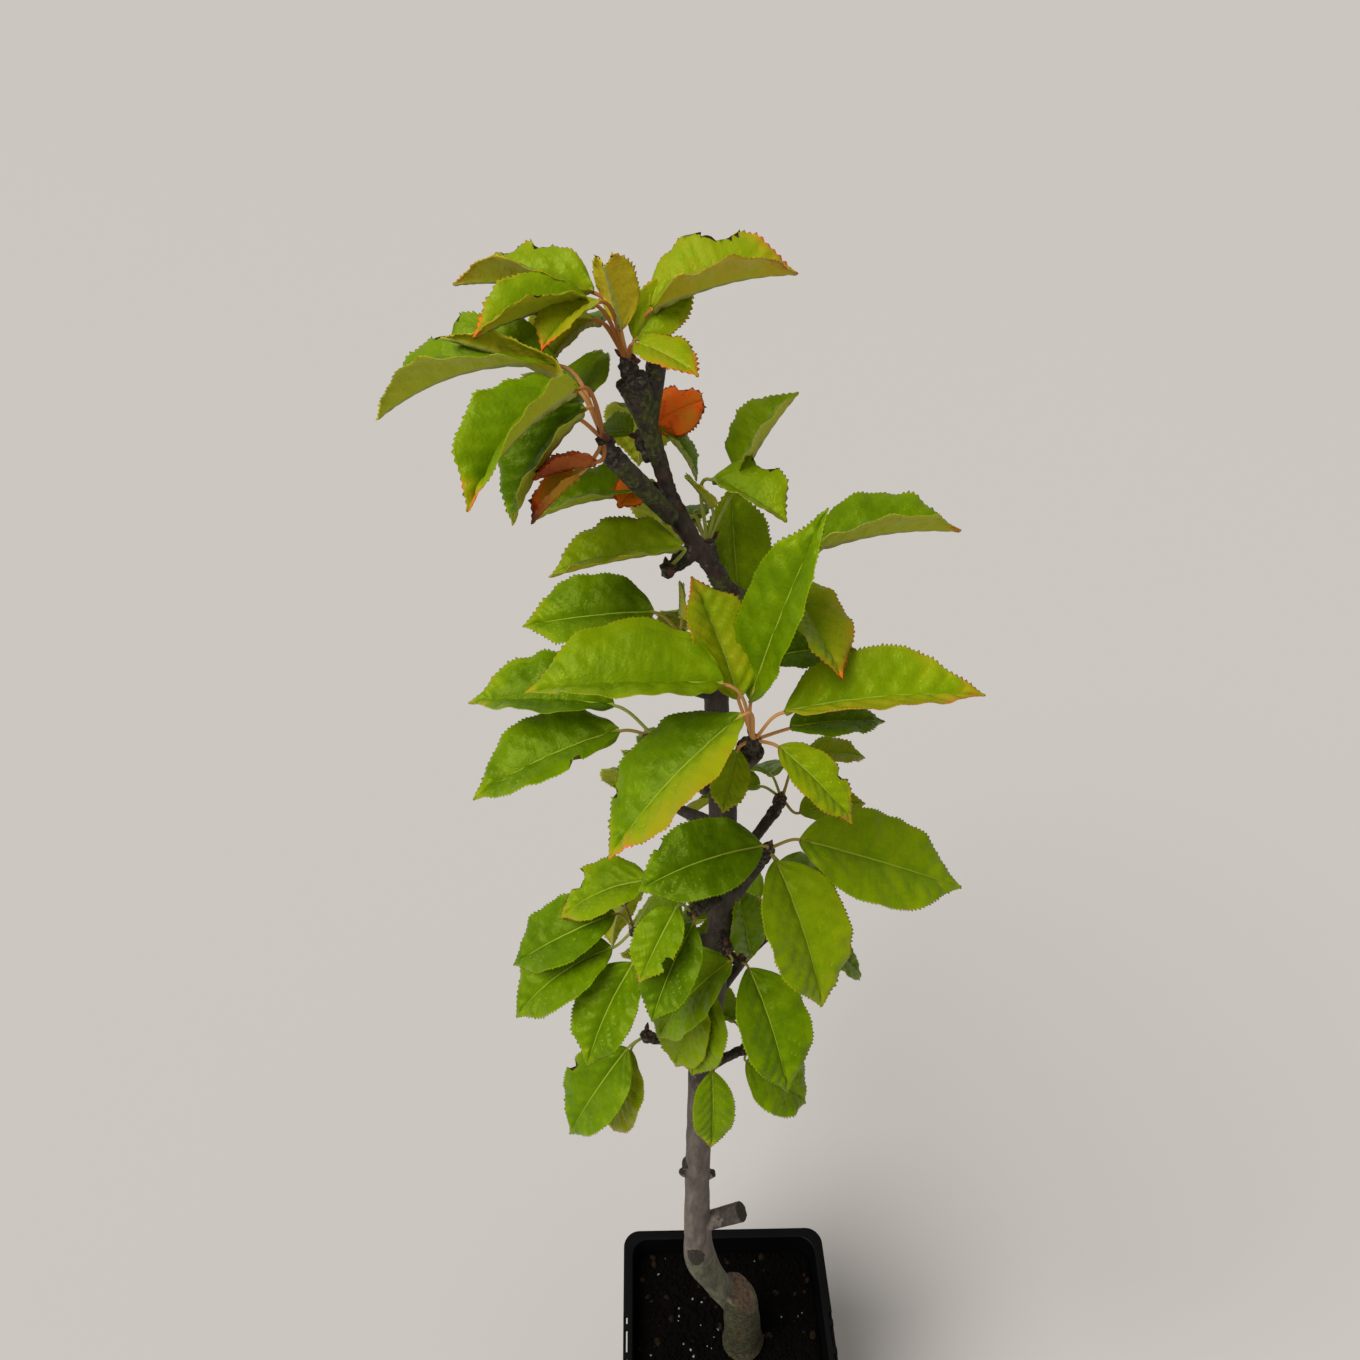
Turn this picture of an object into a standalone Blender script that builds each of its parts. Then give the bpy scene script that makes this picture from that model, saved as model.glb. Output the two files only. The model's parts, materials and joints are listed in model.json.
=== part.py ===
"""A columnar cherry tree in a square nursery pot.

The origin is at the middle of the pot's flat underside, +Z is up, and -Y is the side that the
tree is seen from. Sizes that end in _MM and the fields of knots, leaves and clusters are
millimetres, all other lengths are metres, and angles are degrees. A turn is measured round +Z
from +X, and a rise or lift is measured up from level.
"""
import math
import random
from collections import namedtuple

import bmesh
import bpy
from mathutils import Matrix, Vector
from mathutils.bvhtree import BVHTree

MM = 0.001
SEED = 20
CLEARANCE = 0.3 * MM
WELD = 0.01 * MM

# The pot: a tapering square shell with a turned-down rim
RIM_SIDE = 130 * MM
POT_HEIGHT = 160 * MM
FOOT_SIDE = 98 * MM
WALL = 1.8 * MM
LIP_REACH = 4 * MM
LIP_DROP = 11 * MM
CORNER_RADIUS = 10 * MM
CORNER_STEPS = 3
DRAIN_DIAMETER = 9 * MM
DRAIN_PLACE = 32 * MM
DRAIN_SIDES = 12
SLOT_DEPTH = 2.6 * MM
SLOT_LENGTHS = (4 * MM, 12 * MM, 4 * MM)
SLOT_GAP = 3.5 * MM

# The soil
SOIL_TOP = 148 * MM
SOIL_CROWN = 2 * MM
SOIL_SHOULDER = 4 * MM

# The blade of a leaf, whose half width is a share of its length
LEAF_THICKNESS = 0.75 * MM
LEAF_STEPS = 4
LEAF_HALF_WIDTH = 0.285
LEAF_END_WIDTH = 0.03
LEAF_WIDEST_LATE = 1.1
LEAF_FULLNESS = 0.75

# The stalk of a leaf, which runs some way into the blade along its midrib
STALK_DIAMETER = 1.7 * MM
STALK_STEPS = 3
STALK_SIDES = 4
STALK_IN_BLADE = 0.3

# The stem of a mass: its diameters from foot to crown, and how far its crown stands over the head
STEM_FOOT = 4.4 * MM
STEM_MIDDLE = 5 * MM
STEM_HEAD = 5.2 * MM
STEM_CROWN = 3.2 * MM
STEM_OVER = 1.5 * MM

# The seeded rule, which deals leaves round a head
GOLDEN_TURN = 137.5
TRIES_PER_LEAF = 16
RULE_LIFTS = (0, 45)
RULE_STALKS_MM = (9, 16)
RULE_BLADES_MM = (34, 48)
RULE_FOLDS = (10, 35)
RULE_ROLLS = (-15, 15)

LIMB_SIDES = 8
ROOTSTOCK_SIDES = 12
TRUNK_STEP_MM = 14
BOUGH_STEP_MM = 6
SEAT_STEPS = 12

WOOD = (0.12, 0.075, 0.05)
FOLIAGE = (0.20, 0.42, 0.03)
PLASTIC = (0.01, 0.01, 0.01)
EARTH = (0.02, 0.014, 0.01)

# A knot of a limb's route: its place and the limb's diameter there
Knot = namedtuple("Knot", "x y z diameter")

# One leaf: the stalk's turn, lift and length, then the blade's rise and length. fold lifts each
# half of the blade, roll tips it about its midrib, swing turns it away from its stalk, droop is how
# far it bends down from base to tip, and broad multiplies its width.
Leaf = namedtuple("Leaf", "turn lift stalk rise blade fold roll swing droop broad", defaults=(15, 0, 0, 40, 1))

# One mass of foliage: a short stem from foot to head, its leaves as the photograph shows them, and
# how many more the seeded rule adds between two turns and two rises.
Cluster = namedtuple("Cluster", "name foot head leaves extra turns rises", defaults=((), 0, (0, 360), (-30, 15)))

ROOTSTOCK = (
    Knot(9, 3.5, 148.3, 26), Knot(8.4, 4, 155, 22.5), Knot(6.8, 5, 175, 21.5),
    Knot(4, 6, 200, 20.5), Knot(1, 6.5, 235, 19),
)
ROOTSTOCK_CUT = (3.5, 6.5, 209)
ROOTSTOCK_CUT_SLOPE = 46

TRUNK = (
    Knot(3, 6, 190, 13), Knot(-12, 6, 224, 14.5), Knot(-22, 6, 254, 17.5), Knot(-25, 6.5, 285, 14.5),
    Knot(-27.5, 7, 336, 12.5), Knot(-29.5, 8, 408, 11.5), Knot(-29.3, 10, 453, 12.5),
    Knot(-26.5, 12, 519, 10.5), Knot(-27, 14, 541, 10.8), Knot(-29, 16, 588, 10.5),
    Knot(-34, 20, 639, 8.4), Knot(-33.6, 21.5, 667, 6.4), Knot(-34, 22, 681, 5.8), Knot(-43, 22, 695.5, 5.6),
    Knot(-50, 22, 706.5, 6.8), Knot(-53, 24, 715, 5), Knot(-58.4, 24, 732, 5.6), Knot(-62.5, 24, 744, 8.4),
    Knot(-64.2, 24, 748, 9),
)

# Pruned stubs and buds that are part of the trunk
STUBS = (
    (Knot(-25, 6.5, 292, 10), Knot(-14, 5.5, 300, 9.5), Knot(-3, 4, 309, 10)),
    (Knot(-29, 7, 351, 9), Knot(-34.5, 6.5, 355, 6)),
    (Knot(-27.5, 7, 343, 7), Knot(-35, 5, 348, 4), Knot(-36, 4, 351, 3)),
    (Knot(-28, 7, 338, 6), Knot(-19.5, 6, 345, 4)),
    (Knot(-29, 10, 449, 8), Knot(-26, 2, 454, 6)),
    (Knot(-43, 22, 695, 6), Knot(-50, 17, 692, 5.5)),
    (Knot(-59, 25, 735, 6), Knot(-57, 31, 748, 6), Knot(-57, 34, 756, 5)),
)

# Boughs, spurs and twigs between the trunk and the masses
BOUGHS = {
    "left_bough": (
        Knot(-53, 16.6, 709.8, 5.4), Knot(-58, 13, 717, 5.4), Knot(-65, 8, 727, 5.8), Knot(-69, 5, 733, 6.6)),
    "right_bough": (
        Knot(-29.6, 22, 679, 4), Knot(-24.5, 21.5, 676.8, 3.6), Knot(-18, 21, 678, 3.6), Knot(-13, 20, 684, 4.2)),
    "middle_left_bough": (
        Knot(-39.5, 17.2, 643.2, 5.6), Knot(-45, 17, 646, 5.5), Knot(-48, 18, 653, 5), Knot(-47.5, 20, 659, 5)),
    "front_spur": (
        Knot(-28.2, 8.8, 601.5, 6), Knot(-27, 5, 614, 6), Knot(-25.5, -3, 629, 7.5), Knot(-24.6, -8, 638, 9)),
    "left_spur": (Knot(-37.4, 13, 603, 5), Knot(-42, 12, 612, 4.6), Knot(-51, 10.5, 623, 6)),
    "right_twig": (Knot(-21.5, 10, 549, 4.6), Knot(-17, 5, 566, 4), Knot(-14.2, 1, 579, 4.6)),
    "back_right_twig": (Knot(-21, 19, 557, 4.4), Knot(-13, 28, 563, 4), Knot(-6, 34, 570, 4.6)),
    "lower_left_bough": (Knot(-33.5, 11, 520, 5.4), Knot(-46, 8, 523, 5), Knot(-57.5, 5, 531, 5.6)),
    "bottom_left_twig": (Knot(-37, 9, 452, 4.8), Knot(-44, 7.5, 456, 4), Knot(-52, 6, 460, 4.6)),
    "bottom_right_twig": (Knot(-22, 9, 438, 4.6), Knot(-17, 9.5, 442, 4.2), Knot(-12.5, 10, 444.5, 4.4)),
    "low_back_twig": (Knot(-21.8, 15.5, 486, 4.6), Knot(-11, 26, 492, 4), Knot(-1.5, 33, 498.5, 4.6)),
    "high_back_twig": (Knot(-38.2, 23.3, 641.6, 4.6), Knot(-47, 31, 638, 4), Knot(-53.5, 35, 638, 4.6)),
    "middle_back_twig": (Knot(-34, 20.3, 578, 4.6), Knot(-43, 28, 576, 4), Knot(-50.5, 33, 578, 4.6)),
}

LEADER_TIP = Cluster("leader_tip_leaves", (-64.5, 24, 748.8), (-65, 24, 753), (
    Leaf(20, 63, 15, 13, 42, 40, 5, -13, 30, broad=1.3),
    Leaf(0, 72, 6, 33, 24, 10, 50, 30),
    Leaf(226, 73, 9.3, 72, 24, 45, 40, -11, 10, broad=1.15),
    Leaf(160, 60, 20, 0, 39, 40, 0, 14, 24),
    Leaf(200, 56, 20, -8, 34, 45, -5, 10, 30),
    Leaf(219, 60, 20.5, -24, 22, 25, 0, 5, 40, broad=1.2),
    Leaf(187, 48, 15, -36, 17, 20, 0, 26, broad=1.1),
    Leaf(285, 42, 11, -8, 23, 10, 10, 32),
), 1, (120, 150), (-40, -30))

LEADER_BACK = Cluster("leader_back_leaves", (-59, 28.5, 724), (-61, 33, 727), (
    Leaf(60, 16, 4, 22, 22, 10, 50, -47, broad=1.15),
    Leaf(43, 21, 6.3, -53, 23, 20, 0, -50),
    Leaf(118, -20, 6, -14, 18, 20, -30, 10),
), 1, (90, 120), (-60, -50))

BOUGH_CROTCH = Cluster("bough_crotch_leaves", (-53.4, 27.4, 710.5), (-56, 29.4, 711.5), (
    Leaf(221, -50, 2, -13, 39, 30, 0, -38),
    Leaf(157, 50, 3, -25, 14, 10, -20, 60, broad=1.4),
))

LEFT_BOUGH = Cluster("left_bough_leaves", (-69.8, 4.4, 734), (-71, 3.5, 738), (
    Leaf(162, 56, 23, -19, 55, 40, -5, 14, 45, broad=0.9),
    Leaf(168, 58, 18, 14, 36, 20, 40, 0, 20, broad=0.7),
    Leaf(225, 62, 19, -29, 45, 45, 5, 1, 40),
    Leaf(200, 62, 11, -52, 38, 40, 0, 8),
    Leaf(257, -15, 9, -10, 18, 40, 20, -60, 20),
    Leaf(235, -25, 12.7, -40, 19, 40, 10, -30, 20),
), 2, (110, 150), (-40, -15))

UPPER_RIGHT = Cluster("upper_right_leaves", (-38.5, 25.5, 690.5), (-39.5, 30, 692), (
    Leaf(6, 68, 24.6, 54, 31, 33, -13, 17, 20, broad=1.35),
    Leaf(275, 83, 24, -15, 27, 35, 5, 53, 20, broad=1.6),
    Leaf(314, 84, 13.4, 51, 17, 10, 0, -105, 20, broad=1.2),
), 2, (40, 110), (-60, -35))

FRONT_KNOB = Cluster("front_knob_leaves", (-50.5, 16.5, 691.8), (-52.6, 14.4, 691.2), (
    Leaf(0, 60, 9, -12, 42, 31, 0, 185, 20, broad=1.12),
))

MIDDLE_LEFT = Cluster("middle_left_leaves", (-47.5, 20.2, 659.8), (-47.2, 20, 664), (
    Leaf(180, 42, 12, -10, 44, 18, -25, -3, 25, broad=1.05),
    Leaf(60, 83, 5, 85, 15, 15, 0, 120, 10),
), 1, (130, 160), (-45, -35))

BACK_UPPER = Cluster("back_upper_leaves", (-30.2, 24.3, 648), (-25.2, 30, 652.7), (
    Leaf(117, 73, 15, 70, 41, 15, 0, -10, 15),
    Leaf(334, -25, 9, 5, 33, 15, 10, 30, 30),
), 2, (20, 120), (-45, -15))

RIGHT_BOUGH = Cluster("right_bough_leaves", (-12.5, 20, 685), (-11.5, 20, 689), (
    Leaf(22, 46, 8, 5, 49, 40, -8, -15, 30),
    Leaf(215, -12, 5, -31, 38, 15, -18, 85, 20, broad=1.2),
))

CENTRE_FRONT = Cluster("centre_front_leaves", (-24.4, -8.7, 639.3), (-24.2, -10.5, 644), (
    Leaf(195, 64, 27, -2, 60, 32, -5, -13, 25, broad=1.12),
    Leaf(161, 67, 16, 48, 41, 20, 0, -38, 15),
    Leaf(110, 70, 13, 71, 66, 22, 0, -80, 15, broad=0.68),
    Leaf(236, 59, 19, -37, 60, 15, 10, -24, 30),
    Leaf(0, 53, 14, 5, 64, 20, 5, 2, 14, broad=0.76),
    Leaf(345, -8, 8, -32, 34, 15, 10, -20, 30, broad=0.85),
    Leaf(184, -36, 6, -62, 22, 12, 0, 60, 15),
    Leaf(38, -12, 17, -3, 34, 15, 0, -28, 30),
))

LEFT_SPUR = Cluster("left_spur_leaves", (-51.5, 10.4, 624), (-55, 10, 628), (
    Leaf(165, 36, 18, -5, 51, 30, -3, 8, 25, broad=1.15),
    Leaf(190, 19, 13, -22, 55, 20, -3, 4, 25),
))

RIGHT_TWIG = Cluster("right_twig_leaves", (-14, 0.5, 580.5), (-13.5, 0, 584), (
    Leaf(10, 12, 12, -20, 68, 10, 26, -12, 12, broad=0.88),
    Leaf(299, -20, 5, -50, 57, 15, 0, 0),
    Leaf(240, 48, 8, -18, 48, 12, -25, -50, 30),
    Leaf(36, -58, 13, -58, 55, 15, 0, -50, 20),
))

BACK_RIGHT = Cluster("back_right_leaves", (-5, 35, 571.5), (-3.5, 36.5, 575), (
    Leaf(11, 69, 21, -8, 26, 15, 0, -2),
    Leaf(343, -38, 10, 2, 28, 15, 10, 26, 30),
), 2, (100, 170), (-60, -40))

MIDDLE_BACK = Cluster("middle_back_leaves", (-51, 33.4, 578.5), (-54, 36, 580), (),
                      4, (10, 110), (-55, -20))

HIGH_BACK = Cluster("high_back_leaves", (-54.5, 35.8, 638.2), (-57.5, 38, 639), (),
                    4, (40, 160), (-60, -30))

LOWER_CENTRE = Cluster("lower_centre_leaves", (-30.5, 6.5, 548), (-40, -4, 555), (
    Leaf(214, 45, 10, -40, 31, 15, 0, 20),
    Leaf(280, -20, 5, -48, 40, 15, 0, -46, 30),
))

LOWER_LEFT = Cluster("lower_left_leaves", (-58.2, 4.8, 531.6), (-61.5, 4, 535), (
    Leaf(31, 74, 25, -31, 41, 15, -10, 150),
    Leaf(164, 42, 10, -32, 49, 15, -10, 22),
    Leaf(208, -30, 11, -34, 49, 15, -10, -10),
    Leaf(271, -55, 13, -44, 44, 15, 0, -36, 30),
), 1, (100, 130), (-70, -60))

LOWER_FRONT = Cluster("lower_front_leaves", (-26.2, 4.8, 525), (-25.6, -2, 530), (
    Leaf(305, -41, 5, -52, 48, 15, 0, -108, 30, broad=1.15),
    Leaf(157, -68, 28, -76, 48, 15, 0, 70, 20),
    Leaf(159, -82, 27, -74, 46, 15, 0, 78, 20),
))

LOWER_RIGHT = Cluster("lower_right_leaves", (-20.8, 8, 512.2), (-18, 4, 515), (
    Leaf(296, 24, 6, -46, 52, 15, 0, 0, 30),
    Leaf(49, -20, 7, 72, 34, 15, 0, 80, 20),
))

LOW_BACK = Cluster("low_back_leaves", (-0.9, 33.6, 499.2), (1.5, 36, 501.5), (
    Leaf(9, -37, 14, -44, 45, 15, 0, -12, 30),
), 3, (90, 200), (-60, -35))

LEFT_LOW_BACK = Cluster("left_low_back_leaves", (-32, 17.5, 500), (-35, 22.5, 503), (),
                        4, (60, 150), (-65, -35))

BOTTOM_LEFT = Cluster("bottom_left_leaves", (-52.7, 5.9, 460.5), (-56, 5.5, 463), (
    Leaf(205, -24, 9, -56, 53, 15, -10, 4, 20),
    Leaf(170, -62, 13, -76, 52, 15, 0, 60, 20),
))

BOTTOM_FRONT = Cluster("bottom_front_leaves", (-25.5, 0.6, 454.9), (-25, -1.5, 456), (
    Leaf(230, -60, 6, -72, 42, 15, 0, 44, 20, broad=0.75),
))

BOTTOM_RIGHT = Cluster("bottom_right_leaves", (-12, 10.1, 444.8), (-9, 10.4, 446.5), (
    Leaf(250, -62, 7, -46, 44, 15, 32, 106, 25, broad=1.15),
), 2, (70, 150), (-60, -30))

CLUSTERS = (
    LEADER_TIP, LEADER_BACK, BOUGH_CROTCH, LEFT_BOUGH, UPPER_RIGHT, FRONT_KNOB, MIDDLE_LEFT, BACK_UPPER,
    RIGHT_BOUGH, CENTRE_FRONT, LEFT_SPUR, RIGHT_TWIG, BACK_RIGHT, MIDDLE_BACK, HIGH_BACK, LOWER_CENTRE, LOWER_LEFT,
    LOWER_FRONT, LOWER_RIGHT, LOW_BACK, LEFT_LOW_BACK, BOTTOM_LEFT, BOTTOM_FRONT, BOTTOM_RIGHT,
)


def polar(turn, rise):
    """Unit vector at a turn round +Z and a rise above level."""
    a = math.radians(turn)
    b = math.radians(rise)
    return Vector((math.cos(a) * math.cos(b), math.sin(a) * math.cos(b), math.sin(b)))


def finish(name, colour, roughness):
    """Plain material of one colour."""
    material = bpy.data.materials.new(name)
    material.use_nodes = True
    shader = material.node_tree.nodes["Principled BSDF"]
    shader.inputs["Base Color"].default_value = (*colour, 1)
    shader.inputs["Roughness"].default_value = roughness
    return material


def add_object(name, mesh, collection, material):
    """Object for a mesh, with its one material."""
    obj = bpy.data.objects.new(name, mesh)
    collection.objects.link(obj)
    mesh.materials.clear()
    mesh.materials.append(material)
    return obj


def mesh_of(bm, name):
    """Mesh data from a bmesh, which is freed."""
    mesh = bpy.data.meshes.new(name)
    bm.to_mesh(mesh)
    bm.free()
    return mesh


def tree_of(bm):
    """Search tree of a bmesh's faces; the bmesh is freed."""
    tree = BVHTree.FromBMesh(bm, epsilon=0)
    bm.free()
    return tree


def smooth_route(knots, step_mm):
    """Points and radii along a smooth curve through the knots, in metres."""
    places = [Vector(knot[:3]) for knot in knots]
    out = []
    for i in range(len(knots) - 1):
        a, b = places[i], places[i + 1]
        before = places[i - 1] if i else 2 * a - b
        after = places[i + 2] if i + 2 < len(places) else 2 * b - a
        steps = max(1, round((b - a).length / step_mm))
        for k in range(steps):
            t = k / steps
            point = 0.5 * (
                2 * a + (b - before) * t + (2 * before - 5 * a + 4 * b - after) * t * t
                + (3 * a - before - 3 * b + after) * t ** 3
            )
            ease = t * t * (3 - 2 * t)
            diameter = knots[i].diameter * (1 - ease) + knots[i + 1].diameter * ease
            out.append((point * MM, diameter * MM / 2))
    out.append((places[-1] * MM, knots[-1].diameter * MM / 2))
    return out


def tube(points, sides):
    """Closed bmesh of a tube with an even number of sides, through (place, radius) pairs."""
    curve = bpy.data.curves.new("tube", "CURVE")
    curve.dimensions = "3D"
    curve.bevel_depth = 1
    curve.bevel_resolution = sides // 2 - 2
    curve.use_fill_caps = True
    spline = curve.splines.new("POLY")
    spline.points.add(len(points) - 1)
    for spot, (place, radius) in zip(spline.points, points):
        spot.co = (*place, 1)
        spot.radius = radius
    holder = bpy.data.objects.new("tube", curve)
    bpy.context.scene.collection.objects.link(holder)
    bpy.context.view_layer.update()
    mesh = bpy.data.meshes.new_from_object(holder.evaluated_get(bpy.context.evaluated_depsgraph_get()))
    bm = bmesh.new()
    bm.from_mesh(mesh)
    bmesh.ops.remove_doubles(bm, verts=bm.verts[:], dist=WELD)
    bmesh.ops.recalc_face_normals(bm, faces=bm.faces[:])
    bpy.data.objects.remove(holder)
    bpy.data.curves.remove(curve)
    bpy.data.meshes.remove(mesh)
    return bm


class Spray:
    """The geometry of one leaf that grows from a head."""

    def __init__(self, leaf, head):
        self.leaf = leaf
        self.turn = leaf.turn + leaf.swing
        self.base = head + polar(leaf.turn, leaf.lift) * leaf.stalk * MM
        self.head = head
        self.length = leaf.blade * MM
        self.half_width = LEAF_HALF_WIDTH * self.length * leaf.broad

    def midrib(self, t):
        """Place and direction at the share t of the blade's length."""
        bend = math.radians(self.leaf.droop)
        start = math.radians(self.leaf.rise) + bend / 2
        now = start - bend * t
        along = (math.sin(start) - math.sin(now)) / bend
        up = (math.cos(now) - math.cos(start)) / bend
        level = polar(self.turn, 0)
        place = self.base + (level * along + Vector((0, 0, up))) * self.length
        return place, level * math.cos(now) + Vector((0, 0, math.sin(now)))

    def surface(self, t, across):
        """Point on the blade's upper face; across runs from -1 to 1."""
        place, ahead = self.midrib(t)
        roll = Matrix.Rotation(math.radians(self.leaf.roll), 3, ahead)
        side = roll @ polar(self.turn + 90, 0)
        up = ahead.cross(side)
        swell = math.sin(math.pi * t ** LEAF_WIDEST_LATE) ** LEAF_FULLNESS
        width = self.half_width * (LEAF_END_WIDTH + (1 - LEAF_END_WIDTH) * swell)
        fold = math.radians(self.leaf.fold)
        return place + width * (side * across * math.cos(fold) + up * abs(across) * math.sin(fold))

    def blade(self, thickness):
        """Closed bmesh of the blade."""
        bm = bmesh.new()
        bmesh.ops.create_grid(bm, x_segments=LEAF_STEPS, y_segments=2, size=1)
        for vert in bm.verts:
            t = min(1, max(0, (vert.co.x + 1) / 2))
            vert.co = self.surface(t, vert.co.y)
        bmesh.ops.solidify(bm, geom=bm.faces[:], thickness=thickness)
        bmesh.ops.recalc_face_normals(bm, faces=bm.faces[:])
        return bm

    def stalk(self, diameter):
        """Closed bmesh of the leaf stalk, from inside the head to inside the blade."""
        start = polar(self.leaf.turn, self.leaf.lift)
        end = self.midrib(0)[1]
        reach = self.leaf.stalk * MM / 3
        bends = (self.head, self.head + start * reach, self.base - end * reach, self.base)
        points = []
        for i in range(STALK_STEPS + 1):
            t = i / STALK_STEPS
            weights = ((1 - t) ** 3, 3 * t * (1 - t) ** 2, 3 * t * t * (1 - t), t ** 3)
            points.append(sum((bend * weight for bend, weight in zip(bends, weights)), Vector()))
        points.append(self.midrib(STALK_IN_BLADE)[0])
        return tube([(point, diameter / 2) for point in points], STALK_SIDES)


def union(name, shapes, material, collection):
    """One closed body from overlapping bmeshes."""
    parts = bpy.data.collections.new(name + "_pieces")
    bpy.context.scene.collection.children.link(parts)
    objects = [add_object("%s_%d" % (name, i), mesh_of(bm, name), parts, material) for i, bm in enumerate(shapes)]
    base = objects[0]
    parts.objects.unlink(base)
    collection.objects.link(base)
    base.name = name
    join = base.modifiers.new("join", "BOOLEAN")
    join.operation = "UNION"
    join.solver = "EXACT"
    join.operand_type = "COLLECTION"
    join.collection = parts
    bpy.context.view_layer.update()
    mesh = bpy.data.meshes.new_from_object(base.evaluated_get(bpy.context.evaluated_depsgraph_get()))
    base.modifiers.clear()
    base.data = mesh
    for obj in objects[1:]:
        bpy.data.objects.remove(obj)
    bpy.data.collections.remove(parts)
    keep_largest_shell(mesh)
    mesh.materials.clear()
    mesh.materials.append(material)
    return base


def keep_largest_shell(mesh):
    """Drops loose scraps and sealed hollows from a mesh."""
    bm = bmesh.new()
    bm.from_mesh(mesh)
    bmesh.ops.triangulate(bm, faces=bm.faces[:])
    left = set(bm.verts)
    shells = []
    while left:
        shell = set()
        edge = [left.pop()]
        while edge:
            vert = edge.pop()
            shell.add(vert)
            for link in vert.link_edges:
                other = link.other_vert(vert)
                if other in left:
                    left.discard(other)
                    edge.append(other)
        shells.append(shell)
    shells.sort(key=len, reverse=True)
    for shell in shells[1:]:
        bmesh.ops.delete(bm, geom=list(shell), context="VERTS")
    bm.to_mesh(mesh)
    bm.free()


def ring(side, height):
    """Corner points of a square with rounded corners, counted round +Z."""
    middle = side / 2 - CORNER_RADIUS
    points = []
    for corner in range(4):
        for k in range(CORNER_STEPS + 1):
            turn = 90 * (corner + k / CORNER_STEPS)
            quarter = polar(90 * corner + 45, 0) * middle * math.sqrt(2)
            points.append(quarter + polar(turn, 0) * CORNER_RADIUS + Vector((0, 0, height)))
    return points


def loft(rings):
    """Closed bmesh through rings of as many points each, capped at the first and the last."""
    bm = bmesh.new()
    rows = [[bm.verts.new(point) for point in points] for points in rings]
    count = len(rows[0])
    for low, high in zip(rows, rows[1:]):
        for k in range(count):
            after = (k + 1) % count
            bm.faces.new((low[k], low[after], high[after], high[k]))
    bm.faces.new(rows[0])
    bm.faces.new(rows[-1])
    bmesh.ops.recalc_face_normals(bm, faces=bm.faces[:])
    return bm


def make_pot(collection, material):
    """Pot with a flat foot, sloping walls and a turned-down lip, lofted from outside to inside."""
    wall_side = RIM_SIDE - 2 * LIP_REACH
    section = (
        (FOOT_SIDE, 0), (wall_side, POT_HEIGHT - WALL), (RIM_SIDE - 2 * WALL, POT_HEIGHT - WALL),
        (RIM_SIDE - 2 * WALL, POT_HEIGHT - LIP_DROP), (RIM_SIDE, POT_HEIGHT - LIP_DROP), (RIM_SIDE, POT_HEIGHT),
        (wall_side - 2 * WALL, POT_HEIGHT), (FOOT_SIDE - 2 * WALL, WALL),
    )
    return add_object("pot", mesh_of(loft([ring(*place) for place in section]), "pot"), collection, material)


def make_cutters(collection):
    """Drain holes in the foot and label slots in two sides of the rim."""
    shapes = []
    for turn in range(45, 360, 90):
        bm = bmesh.new()
        bmesh.ops.create_cone(bm, cap_ends=True, segments=DRAIN_SIDES, radius1=DRAIN_DIAMETER / 2,
                              radius2=DRAIN_DIAMETER / 2, depth=6 * WALL)
        bmesh.ops.translate(bm, verts=bm.verts[:], vec=polar(turn, 0) * DRAIN_PLACE * math.sqrt(2))
        shapes.append(bm)
    for side in (-1, 1):
        along = -(sum(SLOT_LENGTHS) + SLOT_GAP * (len(SLOT_LENGTHS) - 1)) / 2
        for length in SLOT_LENGTHS:
            bm = bmesh.new()
            bmesh.ops.create_cube(bm, size=1)
            bmesh.ops.scale(bm, verts=bm.verts[:], vec=(2 * SLOT_DEPTH, length, 3 * WALL))
            middle = Vector((side * RIM_SIDE / 2, along + length / 2, POT_HEIGHT))
            bmesh.ops.translate(bm, verts=bm.verts[:], vec=middle)
            shapes.append(bm)
            along += length + SLOT_GAP
    for i, bm in enumerate(shapes):
        cutter = bpy.data.objects.new("cutter_%d" % i, mesh_of(bm, "cutter"))
        collection.objects.link(cutter)
        cutter.hide_render = True
        cutter.display_type = "WIRE"


def make_soil(collection, material):
    """Soil that fills the pot to just below its rim and slopes down at the wall."""
    floor = WALL + CLEARANCE
    edge = SOIL_TOP - SOIL_CROWN
    foot_side = FOOT_SIDE - 2 * WALL
    widening = (RIM_SIDE - 2 * LIP_REACH - FOOT_SIDE) / (POT_HEIGHT - WALL)
    sides = [foot_side + widening * (height - WALL) - 2 * CLEARANCE for height in (floor, edge)]
    section = ((sides[0], floor), (sides[1], edge), (sides[1] - 2 * SOIL_SHOULDER, SOIL_TOP))
    return add_object("soil", mesh_of(loft([ring(*place) for place in section]), "soil"), collection, material)


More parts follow.
